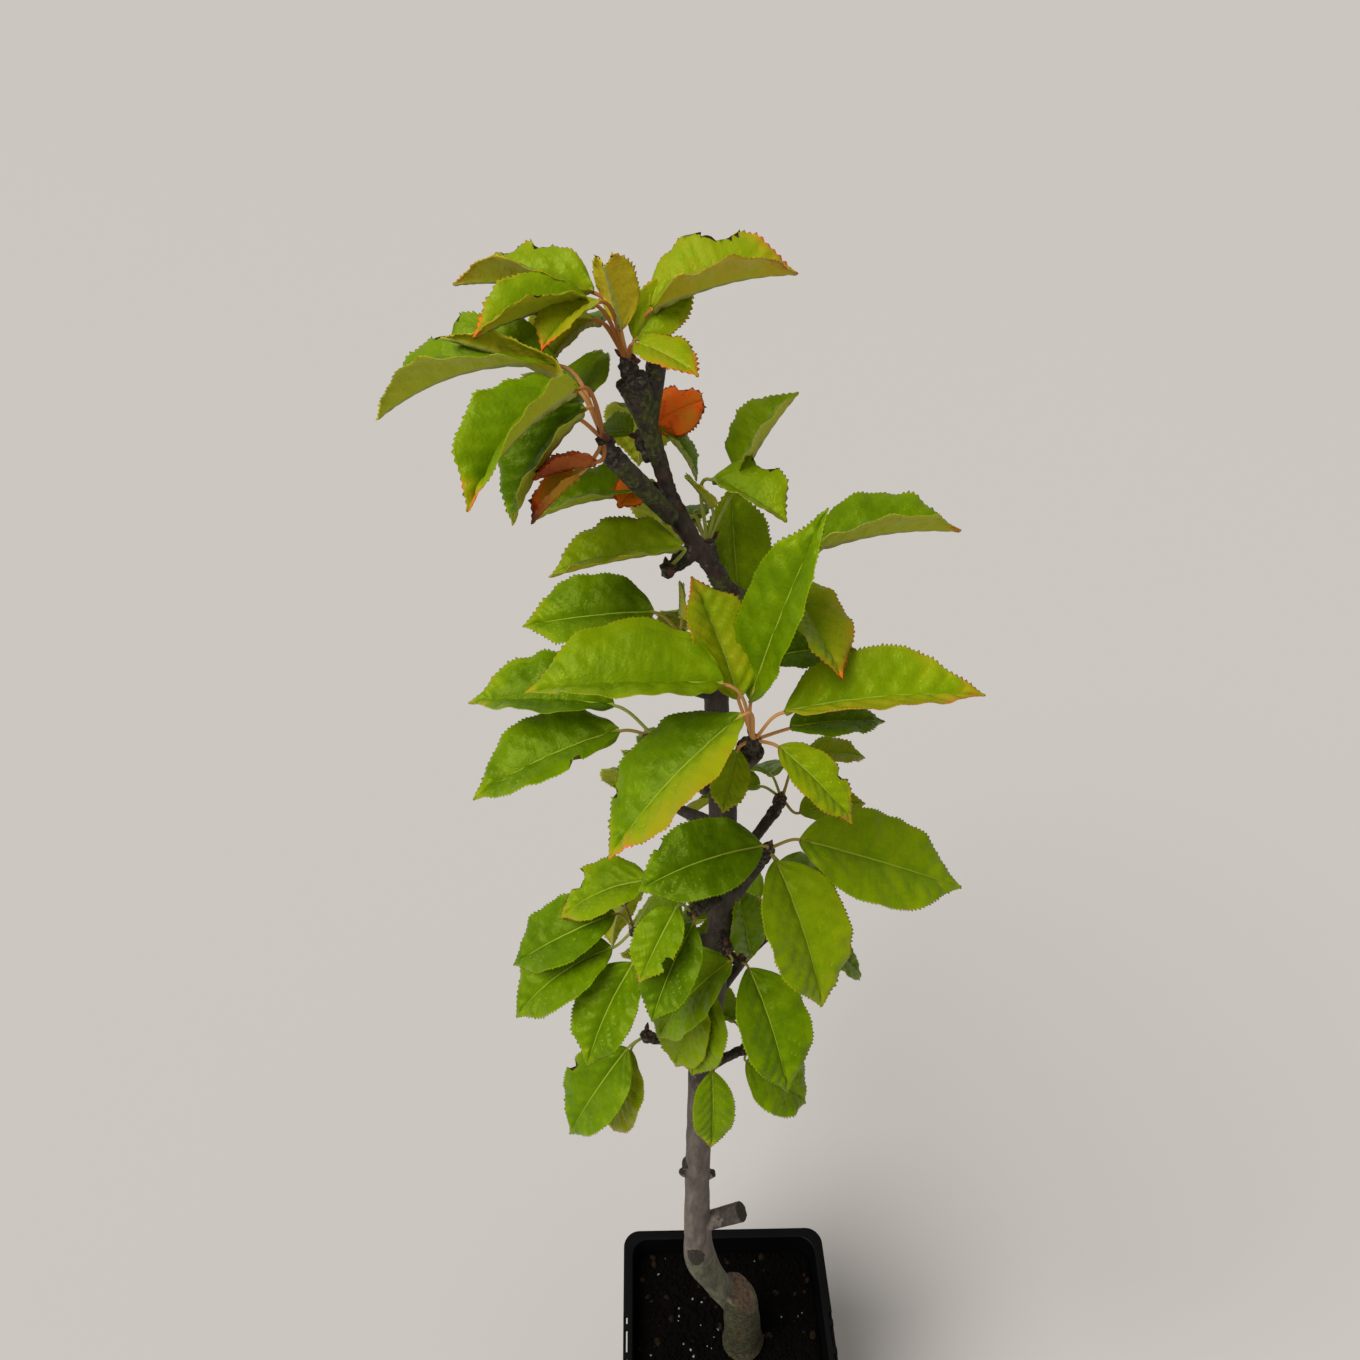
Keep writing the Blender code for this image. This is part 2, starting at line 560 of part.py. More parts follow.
def make_trunk(collection, material):
    """Rootstock with its slanting cut, scion and pruned stubs in one body."""
    stock = tube(smooth_route(ROOTSTOCK, TRUNK_STEP_MM), ROOTSTOCK_SIDES)
    for vert in stock.verts:
        vert.co.z = max(vert.co.z, ROOTSTOCK[0].z * MM)
    slope = math.radians(ROOTSTOCK_CUT_SLOPE)
    everything = stock.verts[:] + stock.edges[:] + stock.faces[:]
    cut = bmesh.ops.bisect_plane(stock, geom=everything, plane_co=Vector(ROOTSTOCK_CUT) * MM,
                                 plane_no=(math.sin(slope), 0, math.cos(slope)), clear_outer=True)
    rim = [item for item in cut["geom_cut"] if isinstance(item, bmesh.types.BMEdge)]
    bmesh.ops.holes_fill(stock, edges=rim, sides=0)
    bmesh.ops.recalc_face_normals(stock, faces=stock.faces[:])
    shapes = [stock, tube(smooth_route(TRUNK, TRUNK_STEP_MM), LIMB_SIDES)]
    shapes += [tube(smooth_route(stub, BOUGH_STEP_MM), LIMB_SIDES) for stub in STUBS]
    return union("trunk", shapes, material, collection)


def limb_trees(collection):
    """Search trees of the limbs that stand already."""
    trees = []
    for obj in collection.objects:
        bm = bmesh.new()
        bm.from_mesh(obj.data)
        trees.append(tree_of(bm))
    return trees


def end_points(middle, ahead, radius):
    """Points spread over the flat end of a limb."""
    side = ahead.orthogonal().normalized()
    points = [middle]
    for k in range(LIMB_SIDES):
        spoke = Matrix.Rotation(math.tau * k / LIMB_SIDES, 3, ahead) @ side * radius
        points += [middle + spoke / 2, middle + spoke]
    return points


def seat(foot, ahead, radius, trees):
    """The foot of a limb, moved along the limb until its flat end is one clearance off what carries it."""
    for _ in range(SEAT_STEPS):
        gap = min(tree.find_nearest(point)[3] for tree in trees for point in end_points(foot, ahead, radius))
        foot = foot - ahead * (gap - CLEARANCE)
    return foot


def make_boughs(collection, material):
    """Each bough, spur and twig as one tapering limb, seated on the trunk."""
    trunk = limb_trees(collection)
    for name, knots in BOUGHS.items():
        first = Vector(knots[0][:3]) * MM
        ahead = (Vector(knots[1][:3]) * MM - first).normalized()
        foot = seat(first, ahead, knots[0].diameter * MM / 2, trunk)
        knots = (Knot(*(foot / MM), knots[0].diameter), *knots[1:])
        limb = tube(smooth_route(knots, BOUGH_STEP_MM), LIMB_SIDES)
        add_object(name, mesh_of(limb, name), collection, material)


def stem_of(cluster, limbs):
    """Short knobby stem that a mass of leaves grows from, seated on the nearest limb."""
    head = Vector(cluster.head) * MM
    ahead = (head - Vector(cluster.foot) * MM).normalized()
    foot = seat(Vector(cluster.foot) * MM, ahead, STEM_FOOT / 2, limbs)
    crown = head + ahead * STEM_OVER
    places = (foot, foot.lerp(head, 0.6), head, crown)
    diameters = (STEM_FOOT, STEM_MIDDLE, STEM_HEAD, STEM_CROWN)
    return tube([(place, diameter / 2) for place, diameter in zip(places, diameters)], LIMB_SIDES)


def seeded_leaf(rng, cluster, turn):
    """One leaf of the rule; the turn is dealt out between the cluster's two turns."""
    first, last = cluster.turns
    return Leaf(
        turn=first + (turn % 360) / 360 * (last - first), lift=rng.uniform(*RULE_LIFTS),
        stalk=rng.uniform(*RULE_STALKS_MM), rise=rng.uniform(*cluster.rises), blade=rng.uniform(*RULE_BLADES_MM),
        fold=rng.uniform(*RULE_FOLDS), roll=rng.uniform(*RULE_ROLLS),
    )


def grow_clusters(collection, material):
    """The shown leaves of every mass first, then the leaves of the seeded rule where there is room."""
    rng = random.Random(SEED)
    limbs = limb_trees(collection)
    sprays = {cluster: [Spray(leaf, Vector(cluster.head) * MM) for leaf in cluster.leaves] for cluster in CLUSTERS}
    blades = [tree_of(spray.blade(LEAF_THICKNESS)) for row in sprays.values() for spray in row]
    stalks = {cluster: [tree_of(spray.stalk(STALK_DIAMETER)) for spray in row] for cluster, row in sprays.items()}
    for cluster in CLUSTERS:
        turn = rng.uniform(0, 360)
        wanted = len(cluster.leaves) + cluster.extra
        for _ in range(TRIES_PER_LEAF * cluster.extra):
            if len(sprays[cluster]) == wanted:
                break
            turn += GOLDEN_TURN
            spray = Spray(seeded_leaf(rng, cluster, turn), Vector(cluster.head) * MM)
            blade = tree_of(spray.blade(LEAF_THICKNESS + 2 * CLEARANCE))
            stalk = tree_of(spray.stalk(STALK_DIAMETER + 2 * CLEARANCE))
            others = [tree for other, row in stalks.items() if other != cluster for tree in row]
            if any(blade.overlap(tree) for tree in limbs + blades + others):
                continue
            if any(stalk.overlap(tree) for tree in limbs + blades + others):
                continue
            sprays[cluster].append(spray)
            blades.append(blade)
            stalks[cluster].append(stalk)
    for cluster in CLUSTERS:
        shapes = [stem_of(cluster, limbs)]
        for spray in sprays[cluster]:
            shapes += [spray.stalk(STALK_DIAMETER), spray.blade(LEAF_THICKNESS)]
        union(cluster.name, shapes, material, collection)


def main():
    for obj in list(bpy.data.objects):
        bpy.data.objects.remove(obj)
    tree = bpy.data.collections.new("potted_cherry_tree")
    cutters = bpy.data.collections.new("cutters")
    for collection in (tree, cutters):
        bpy.context.scene.collection.children.link(collection)
    wood = finish("bark", WOOD, 0.85)
    leaf = finish("leaf", FOLIAGE, 0.4)
    plastic = finish("pot_plastic", PLASTIC, 0.45)
    earth = finish("soil", EARTH, 0.95)
    make_trunk(tree, wood)
    make_boughs(tree, wood)
    grow_clusters(tree, leaf)
    make_soil(tree, earth)
    pot = make_pot(tree, plastic)
    make_cutters(cutters)
    cut = pot.modifiers.new("holes", "BOOLEAN")
    cut.operation = "DIFFERENCE"
    cut.solver = "EXACT"
    cut.operand_type = "COLLECTION"
    cut.collection = cutters


main()
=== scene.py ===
"""Looks of a columnar cherry tree in a square nursery pot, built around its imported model.

Lengths are metres, except where a name ends in _mm and in the rows of knots, leaves and clusters,
which are millimetres. Angles are degrees. +Z is up and -Y is the side the tree is seen from.
"""

import json
import logging
import math
import random
from dataclasses import dataclass, field
from enum import Enum
from typing import Iterable, Sequence

import bmesh
import bpy
import numpy as np
from mathutils import Matrix, Vector, noise
from mathutils.bvhtree import BVHTree


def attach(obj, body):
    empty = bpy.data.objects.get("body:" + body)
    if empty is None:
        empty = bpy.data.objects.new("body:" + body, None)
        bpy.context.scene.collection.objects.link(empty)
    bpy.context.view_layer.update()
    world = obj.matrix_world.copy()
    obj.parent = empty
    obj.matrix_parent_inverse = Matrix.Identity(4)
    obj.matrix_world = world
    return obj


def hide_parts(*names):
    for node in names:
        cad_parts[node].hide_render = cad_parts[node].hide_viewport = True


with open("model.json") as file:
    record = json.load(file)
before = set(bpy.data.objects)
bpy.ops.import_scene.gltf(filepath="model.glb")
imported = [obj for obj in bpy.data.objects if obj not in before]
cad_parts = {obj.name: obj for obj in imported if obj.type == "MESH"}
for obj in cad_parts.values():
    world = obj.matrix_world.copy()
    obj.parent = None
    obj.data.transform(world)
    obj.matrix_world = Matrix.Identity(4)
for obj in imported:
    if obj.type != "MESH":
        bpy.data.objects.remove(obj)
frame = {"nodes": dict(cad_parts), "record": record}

LOG = logging.getLogger("cherry_tree")
MM = 0.001
BODY = "root"
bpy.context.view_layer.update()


# Rows of the tree's shape

@dataclass(frozen=True)
class Knot:
    """A knot of a limb's route: its place and the limb's diameter there."""

    x: float
    y: float
    z: float
    diameter: float

    @property
    def place(self) -> Vector:
        """The knot's place in metres."""
        return Vector((self.x, self.y, self.z)) * MM


@dataclass(frozen=True)
class Bite:
    """A round bite out of a blade: the share along it, the share across it, and its radius."""

    along: float
    across: float
    radius_mm: float


@dataclass(frozen=True)
class Leaf:
    """One leaf: its stalk's turn, lift and length, its blade's rise, length and form, and its tints.

    ripe is its place in the ramp of tints, tip and edge how many steps further its tip and its
    margin are, and blush the share of the blade that the tip's tint spreads over. flank is how many
    steps further its left half is, or its right half where it is below 0.
    """

    turn: float
    lift: float
    stalk: float
    rise: float
    blade: float
    fold: float = 15
    roll: float = 0
    swing: float = 0
    droop: float = 40
    ripe: float = 3.2
    tip: float = 1.2
    blush: float = 0.3
    edge: float = 0.8
    bites: tuple[Bite, ...] = ()
    broad: float = 1.0
    curl: float = 0.0
    twist: float = 0.0
    flank: float = 0.0


@dataclass(frozen=True)
class Cluster:
    """One mass of foliage: a short stem from foot to head, its shown leaves and the rule's extra ones."""

    name: str
    foot: tuple[float, float, float]
    head: tuple[float, float, float]
    leaves: tuple[Leaf, ...]
    extra: int = 0
    turns: tuple[float, float] = (0, 360)
    rises: tuple[float, float] = (-30, 15)


ROOTSTOCK = (
    Knot(9, 3.5, 148.3, 26), Knot(8.4, 4, 155, 22.5), Knot(6.8, 5, 175, 21.5),
    Knot(4, 6, 200, 20.5), Knot(1, 6.5, 235, 19),
)

TRUNK = (
    Knot(3, 6, 190, 13), Knot(-12, 6, 224, 14.5), Knot(-22, 6, 254, 17.5), Knot(-25, 6.5, 285, 14.5),
    Knot(-27.5, 7, 336, 12.5), Knot(-29.5, 8, 408, 11.5), Knot(-29.3, 10, 453, 12.5),
    Knot(-26.5, 12, 519, 10.5), Knot(-27, 14, 541, 10.8), Knot(-29, 16, 588, 10.5),
    Knot(-34, 20, 639, 8.4), Knot(-33.6, 21.5, 667, 6.4), Knot(-34, 22, 681, 5.8), Knot(-43, 22, 695.5, 5.6),
    Knot(-50, 22, 706.5, 6.8), Knot(-53, 24, 715, 5), Knot(-58.4, 24, 732, 5.6), Knot(-62.5, 24, 744, 8.4),
    Knot(-64.2, 24, 748, 9),
)

STUBS = (
    (Knot(-25, 6.5, 292, 10), Knot(-14, 5.5, 300, 9.5), Knot(-3, 4, 309, 10)),
    (Knot(-29, 7, 351, 9), Knot(-34.5, 6.5, 355, 6)),
    (Knot(-27.5, 7, 343, 7), Knot(-35, 5, 348, 4), Knot(-36, 4, 351, 3)),
    (Knot(-28, 7, 338, 6), Knot(-19.5, 6, 345, 4)),
    (Knot(-29, 10, 449, 8), Knot(-26, 2, 454, 6)),
    (Knot(-43, 22, 695, 6), Knot(-50, 17, 692, 5.5)),
    (Knot(-59, 25, 735, 6), Knot(-57, 31, 748, 6), Knot(-57, 34, 756, 5)),
)

BOUGHS = {
    "left_bough": (
        Knot(-53, 16.6, 709.8, 5.4), Knot(-58, 13, 717, 5.4), Knot(-65, 8, 727, 5.8), Knot(-69, 5, 733, 6.6)),
    "right_bough": (
        Knot(-29.6, 22, 679, 4), Knot(-24.5, 21.5, 676.8, 3.6), Knot(-18, 21, 678, 3.6), Knot(-13, 20, 684, 4.2)),
    "middle_left_bough": (
        Knot(-39.5, 17.2, 643.2, 5.6), Knot(-45, 17, 646, 5.5), Knot(-48, 18, 653, 5), Knot(-47.5, 20, 659, 5)),
    "front_spur": (
        Knot(-28.2, 8.8, 601.5, 6), Knot(-27, 5, 614, 6), Knot(-25.5, -3, 629, 7.5), Knot(-24.6, -8, 638, 9)),
    "left_spur": (Knot(-37.4, 13, 603, 5), Knot(-42, 12, 612, 4.6), Knot(-51, 10.5, 623, 6)),
    "right_twig": (Knot(-21.5, 10, 549, 4.6), Knot(-17, 5, 566, 4), Knot(-14.2, 1, 579, 4.6)),
    "back_right_twig": (Knot(-21, 19, 557, 4.4), Knot(-13, 28, 563, 4), Knot(-6, 34, 570, 4.6)),
    "lower_left_bough": (Knot(-33.5, 11, 520, 5.4), Knot(-46, 8, 523, 5), Knot(-57.5, 5, 531, 5.6)),
    "bottom_left_twig": (Knot(-37, 9, 452, 4.8), Knot(-44, 7.5, 456, 4), Knot(-52, 6, 460, 4.6)),
    "bottom_right_twig": (Knot(-22, 9, 438, 4.6), Knot(-17, 9.5, 442, 4.2), Knot(-12.5, 10, 444.5, 4.4)),
    "low_back_twig": (Knot(-21.8, 15.5, 486, 4.6), Knot(-11, 26, 492, 4), Knot(-1.5, 33, 498.5, 4.6)),
    "high_back_twig": (Knot(-38.2, 23.3, 641.6, 4.6), Knot(-47, 31, 638, 4), Knot(-53.5, 35, 638, 4.6)),
    "middle_back_twig": (Knot(-34, 20.3, 578, 4.6), Knot(-43, 28, 576, 4), Knot(-50.5, 33, 578, 4.6)),
}

# Painted light and shade: several leaves' ripe values follow their tone as lit rather than their own colour. A leaf
# that lies in a neighbour's shade is set further down the ramp, so darker, and some leaves that the key light misses
# are set further up it, so paler.
CLUSTERS = (
    Cluster("leader_tip_leaves", (-64.5, 24, 748.8), (-65, 24, 753), (
        Leaf(20, 63, 15, 13, 42, 40, 5, -13, 30, broad=1.3, ripe=5.0, tip=3.4, blush=0.3, edge=2.2,
             bites=(Bite(0.55, 1.0, 5.0), Bite(0.42, 1.2, 5.2))),
        Leaf(0, 72, 6, 33, 24, 10, 50, 30, ripe=4.4, edge=2.0),
        Leaf(226, 73, 9.3, 72, 24, 45, 40, -11, 10, broad=1.15, ripe=5.8, tip=1.4, bites=(Bite(1.0, 0, 5.0),)),
        Leaf(160, 60, 20, 0, 39, 40, 0, 14, 24, ripe=4.4, tip=2.4, edge=2.0, twist=50,
             bites=(Bite(0.4, -1.05, 2.8), Bite(0.62, -1.05, 2.2))),
        Leaf(200, 56, 20, -8, 34, 45, -5, 10, 30, ripe=3.8, tip=5.2, blush=0.35, edge=1.6, twist=20,
             bites=(Bite(0.5, 1.1, 2.6),)),
        Leaf(219, 60, 20.5, -24, 22, 25, 0, 5, 40, broad=1.2, ripe=5.8, tip=4.0, blush=0.3),
        Leaf(187, 48, 15, -36, 17, 20, 0, 26, broad=1.1, ripe=6.2, tip=1.4),
        Leaf(285, 42, 11, -8, 23, 10, 10, 32, ripe=5.2, tip=2.4, blush=0.6, edge=1.8),
    ), 1, (120, 150), (-40, -30)),
    Cluster("leader_back_leaves", (-59, 28.5, 724), (-61, 33, 727), (
        Leaf(60, 16, 4, 22, 22, 10, 50, -47, broad=1.15, ripe=9.6, tip=0.6, edge=0.6, curl=0.3,
             bites=(Bite(1.0, 0, 3.0), Bite(0.7, 1.1, 2.4))),
        Leaf(43, 21, 6.3, -53, 23, 20, 0, -50, ripe=2.6),
        Leaf(118, -20, 6, -14, 18, 20, -30, 10, ripe=3.0),
    ), 1, (90, 120), (-60, -50)),
    Cluster("bough_crotch_leaves", (-53.4, 27.4, 710.5), (-56, 29.4, 711.5), (
        Leaf(221, -50, 2, -13, 39, 30, 0, -38, ripe=2.8),
        Leaf(157, 50, 3, -25, 14, 10, -20, 60, broad=1.4, ripe=9.4, tip=1.5),
    )),
    Cluster("left_bough_leaves", (-69.8, 4.4, 734), (-71, 3.5, 738), (
        Leaf(162, 56, 23, -19, 55, 40, -5, 14, 45, broad=0.9, ripe=3.0, tip=1.0, edge=0.8, twist=40, bites=(Bite(0.53, -1, 4.4),)),
        Leaf(168, 58, 18, 14, 36, 20, 40, 0, 20, broad=0.7, ripe=5.0, tip=0.4),
        Leaf(225, 62, 19, -29, 45, 45, 5, 1, 40, ripe=2.8, tip=6.0, blush=0.22, edge=1.4, twist=-30),
        Leaf(200, 62, 11, -52, 38, 40, 0, 8, ripe=1.0, tip=5.0, blush=0.2),
        Leaf(257, -15, 9, -10, 18, 40, 20, -60, 20, ripe=10.4, tip=1.4, blush=0.5, edge=0.6),
        Leaf(235, -25, 12.7, -40, 19, 40, 10, -30, 20, ripe=7.8, tip=5.2, blush=0.75, edge=1.4),
    ), 2, (110, 150), (-40, -15)),
    Cluster("upper_right_leaves", (-38.5, 25.5, 690.5), (-39.5, 30, 692), (
        Leaf(6, 68, 24.6, 54, 31, 33, -13, 17, 20, broad=1.35, ripe=3.6, tip=1.0),
        Leaf(275, 83, 24, -15, 27, 35, 5, 53, 20, broad=1.6, ripe=3.8, tip=2.8, blush=0.4, bites=(Bite(0.41, 1, 3.6),)),
        Leaf(314, 84, 13.4, 51, 17, 10, 0, -105, 20, broad=1.2, ripe=4.2),
    ), 2, (40, 110), (-60, -35)),
    Cluster("front_knob_leaves", (-50.5, 16.5, 691.8), (-52.6, 14.4, 691.2), (
        Leaf(0, 60, 9, -12, 42, 31, 0, 185, 20, broad=1.12, ripe=4.4, edge=0.8),
    )),
    Cluster("middle_left_leaves", (-47.5, 20.2, 659.8), (-47.2, 20, 664), (
        Leaf(180, 42, 12, -10, 44, 18, -25, -3, 25, broad=1.05, ripe=2.3, tip=4.2, blush=0.4, edge=1.2),
        Leaf(60, 83, 5, 85, 15, 15, 0, 120, 10, ripe=4.0),
    ), 1, (130, 160), (-45, -35)),
    Cluster("back_upper_leaves", (-30.2, 24.3, 648), (-25.2, 30, 652.7), (
        Leaf(117, 73, 15, 70, 41, 15, 0, -10, 15, ripe=3.4),
        Leaf(334, -25, 9, 5, 33, 15, 10, 30, 30, ripe=1.0),
    ), 2, (20, 120), (-45, -15)),
    Cluster("right_bough_leaves", (-12.5, 20, 685), (-11.5, 20, 689), (
        Leaf(22, 46, 8, 5, 49, 40, -8, -15, 30, ripe=2.8, tip=6.0, blush=0.2, edge=1.2),
        Leaf(215, -12, 5, -31, 38, 15, -18, 85, 20, broad=1.2, ripe=4.2, tip=5.0, blush=0.3,
             edge=1.8, flank=1.4),
    )),
    Cluster("centre_front_leaves", (-24.4, -8.7, 639.3), (-24.2, -10.5, 644), (
        Leaf(195, 64, 27, -2, 60, 32, -5, -13, 25, broad=1.12, ripe=3.4, tip=2.6, blush=0.25, edge=1.6),
        Leaf(161, 67, 16, 48, 41, 20, 0, -38, 15, ripe=5.2, tip=1.4, edge=1.2),
        Leaf(110, 70, 13, 71, 66, 22, 0, -80, 15, broad=0.68, ripe=2.6, tip=1.0),
        Leaf(236, 59, 19, -37, 60, 15, 10, -24, 30, ripe=2.2, tip=4.0, blush=0.3, edge=0.8, flank=4.0,
             bites=(Bite(0.74, -1, 1.6),)),
        Leaf(0, 53, 14, 5, 64, 20, 5, 2, 14, broad=0.76, ripe=4.0, tip=3.4, blush=0.3, edge=1.2,
             curl=-0.25, flank=-2.4),
        Leaf(345, -8, 8, -32, 34, 15, 10, -20, 30, broad=0.85, ripe=4.6, tip=2.6, edge=1.6, bites=(Bite(0.6, 1, 1.8),)),
        Leaf(184, -36, 6, -62, 22, 12, 0, 60, 15, ripe=4.4),
        Leaf(38, -12, 17, -3, 34, 15, 0, -28, 30, ripe=2.0),
    )),
    Cluster("left_spur_leaves", (-51.5, 10.4, 624), (-55, 10, 628), (
        Leaf(165, 36, 18, -5, 51, 30, -3, 8, 25, broad=1.15, ripe=1.8, tip=4.6, blush=0.5, edge=1.6),
        Leaf(190, 19, 13, -22, 55, 20, -3, 4, 25, ripe=2.4, tip=2.0, edge=1.4,
             bites=(Bite(0.3, 1.05, 2.4),)),
    )),
    Cluster("right_twig_leaves", (-14, 0.5, 580.5), (-13.5, 0, 584), (
        Leaf(10, 12, 12, -20, 68, 10, 26, -12, 12, broad=0.88, ripe=3.6, tip=1.2, edge=0.8),
        Leaf(299, -20, 5, -50, 57, 15, 0, 0, ripe=3.6, tip=1.6, edge=1.0, flank=0.8),
        Leaf(240, 48, 8, -18, 48, 12, -25, -50, 30, ripe=1.6, tip=1.0, edge=0.8, bites=(Bite(0.72, -1, 2.0),)),
        Leaf(36, -58, 13, -58, 55, 15, 0, -50, 20, ripe=2.4, edge=0.8),
    )),
    Cluster("back_right_leaves", (-5, 35, 571.5), (-3.5, 36.5, 575), (
        Leaf(11, 69, 21, -8, 26, 15, 0, -2, ripe=5.2),
        Leaf(343, -38, 10, 2, 28, 15, 10, 26, 30, ripe=4.2),
    ), 2, (100, 170), (-60, -40)),
    Cluster("middle_back_leaves", (-51, 33.4, 578.5), (-54, 36, 580), (), 4, (10, 110), (-55, -20)),
    Cluster("high_back_leaves", (-54.5, 35.8, 638.2), (-57.5, 38, 639), (), 4, (40, 160), (-60, -30)),
    Cluster("lower_centre_leaves", (-30.5, 6.5, 548), (-40, -4, 555), (
        Leaf(214, 45, 10, -40, 31, 15, 0, 20, ripe=2.8, tip=4.4, blush=0.3, edge=0.8, bites=(Bite(0.62, 1, 2.4),)),
        Leaf(280, -20, 5, -48, 40, 15, 0, -46, 30, ripe=1.4),
    )),
    Cluster("lower_left_leaves", (-58.2, 4.8, 531.6), (-61.5, 4, 535), (
        Leaf(31, 74, 25, -31, 41, 15, -10, 150, ripe=3.2, tip=3.6, blush=0.5, edge=2.2, bites=(Bite(0.7, -0.9, 4.2),)),
        Leaf(164, 42, 10, -32, 49, 15, -10, 22, ripe=1.8),
        Leaf(208, -30, 11, -34, 49, 15, -10, -10, ripe=2.6),
        Leaf(271, -55, 13, -44, 44, 15, 0, -36, 30, ripe=2.2),
    ), 1, (100, 130), (-70, -60)),
    Cluster("lower_front_leaves", (-26.2, 4.8, 525), (-25.6, -2, 530), (
        Leaf(305, -41, 5, -52, 48, 15, 0, -108, 30, broad=1.15, ripe=2.9),
        Leaf(157, -68, 28, -76, 48, 15, 0, 70, 20, ripe=4.2),
        Leaf(159, -82, 27, -74, 46, 15, 0, 78, 20, ripe=3.6),
    )),
    Cluster("lower_right_leaves", (-20.8, 8, 512.2), (-18, 4, 515), (
        Leaf(296, 24, 6, -46, 52, 15, 0, 0, 30, ripe=2.4, tip=1.4, edge=1.0),
        Leaf(49, -20, 7, 72, 34, 15, 0, 80, 20, ripe=2.2, tip=1.6),
    )),
    Cluster("low_back_leaves", (-0.9, 33.6, 499.2), (1.5, 36, 501.5), (
        Leaf(9, -37, 14, -44, 45, 15, 0, -12, 30, ripe=2.8, tip=2.0),
    ), 3, (90, 200), (-60, -35)),
    Cluster("left_low_back_leaves", (-32, 17.5, 500), (-35, 22.5, 503), (), 4, (60, 150), (-65, -35)),
    Cluster("bottom_left_leaves", (-52.7, 5.9, 460.5), (-56, 5.5, 463), (
        Leaf(205, -24, 9, -56, 53, 15, -10, 4, 20, ripe=2.2, twist=30, bites=(Bite(0.45, -1, 2.4),)),
        Leaf(170, -62, 13, -76, 52, 15, 0, 60, 20, ripe=5.2, twist=25),
    )),
    Cluster("bottom_front_leaves", (-25.5, 0.6, 454.9), (-25, -1.5, 456), (
        Leaf(230, -60, 6, -72, 42, 15, 0, 44, 20, broad=0.75, ripe=3.0, tip=4.8, blush=0.28),
    )),
    Cluster("bottom_right_leaves", (-12, 10.1, 444.8), (-9, 10.4, 446.5), (
        Leaf(250, -62, 7, -46, 44, 15, 32, 106, 25, broad=1.15, ripe=3.0, twist=-30),
    ), 2, (70, 150), (-60, -30)),
)


# Colours and finishes

def linear(code: str) -> tuple[float, float, float, float]:
    """Turns an sRGB hex colour into linear light.

    Args:
        code: six hex digits after a hash sign.

    Returns:
        Red, green, blue and an opacity of 1.
    """
    parts = [int(code[i:i + 2], 16) / 255 for i in (1, 3, 5)]
    light = [c / 12.92 if c <= 0.04045 else ((c + 0.055) / 1.055) ** 2.4 for c in parts]
    return (*light, 1.0)


def add_node(tree: bpy.types.NodeTree, kind: str, settings: dict | None = None,
             links: dict | None = None) -> bpy.types.Node:
    """Adds one node.

    Args:
        tree: the material's node tree.
        kind: the node's type name.
        settings: values of its inputs, by name or number, or of its own properties.
        links: sockets of other nodes that feed its inputs, by name or number.

    Returns:
        The new node.
    """
    node = tree.nodes.new(kind)
    for key, value in (settings or {}).items():
        if isinstance(key, int) or key in node.inputs:
            node.inputs[key].default_value = value
        else:
            setattr(node, key, value)
    for key, socket in (links or {}).items():
        tree.links.new(socket, node.inputs[key])
    return node


def set_ramp(node: bpy.types.Node, stops: Sequence[tuple[float, str]]) -> None:
    """Gives a colour ramp its stops.

    Args:
        node: the colour ramp node.
        stops: places from 0 to 1 with their hex colours, in order.
    """
    elements = node.color_ramp.elements
    while len(elements) < len(stops):
        elements.new(1.0)
    for element, (place, code) in zip(elements, stops):
        element.position = place
        element.color = linear(code)


def per_mm(size_mm: float) -> float:
    """Texture scale for a pattern whose repeat is size_mm, as coordinates are metres."""
    return 1 / (size_mm * MM)


def blank(name: str) -> tuple[bpy.types.Material, bpy.types.NodeTree, bpy.types.Node, bpy.types.NodeSocket]:
    """New material with its tree, its shader and the object's own coordinates."""
    material = bpy.data.materials.new(name)
    material.use_nodes = True
    tree = material.node_tree
    shader = tree.nodes["Principled BSDF"]
    place = add_node(tree, "ShaderNodeTexCoord").outputs["Object"]
    return material, tree, shader, place


@dataclass(frozen=True)
class LeafSkin:
    """Living leaf tissue under a thin waxy cuticle.

    The cuticle gives soft yellow-green highlights, and the net of the finest veins breaks them up.
    """

    name: str
    colour: str
    roughness: float = 0.34
    net_mm: float = 1.5
    relief_mm: float = 0.15
    shine: float = 0.3
    sheen: str = "#F0FF6C"

    def make(self) -> bpy.types.Material:
        """Material of one plain base colour with the net of veins as relief."""
        material, tree, shader, place = blank(self.name)
        shader.inputs["Base Color"].default_value = linear(self.colour)
        shader.inputs["IOR"].default_value = 1.45
        shader.inputs["Specular IOR Level"].default_value = self.shine
        shader.inputs["Specular Tint"].default_value = linear(self.sheen)
        net = add_node(tree, "ShaderNodeTexVoronoi", {"feature": "DISTANCE_TO_EDGE", "Scale": per_mm(self.net_mm)},
                       {"Vector": place})
        bump = add_node(tree, "ShaderNodeBump", {"Strength": 1.0, "Distance": self.relief_mm * MM},
                        {"Height": net.outputs["Distance"]})
        tree.links.new(bump.outputs["Normal"], shader.inputs["Normal"])
        cloud = add_node(tree, "ShaderNodeTexNoise", {"Scale": per_mm(6), "Detail": 2.0}, {"Vector": place})
        spread = add_node(tree, "ShaderNodeMapRange",
                          {"From Min": 0.3, "From Max": 0.7, "To Min": self.roughness - 0.07,
                           "To Max": self.roughness + 0.1}, {"Value": cloud.outputs["Fac"]})
        tree.links.new(spread.outputs["Result"], shader.inputs["Roughness"])
        return material


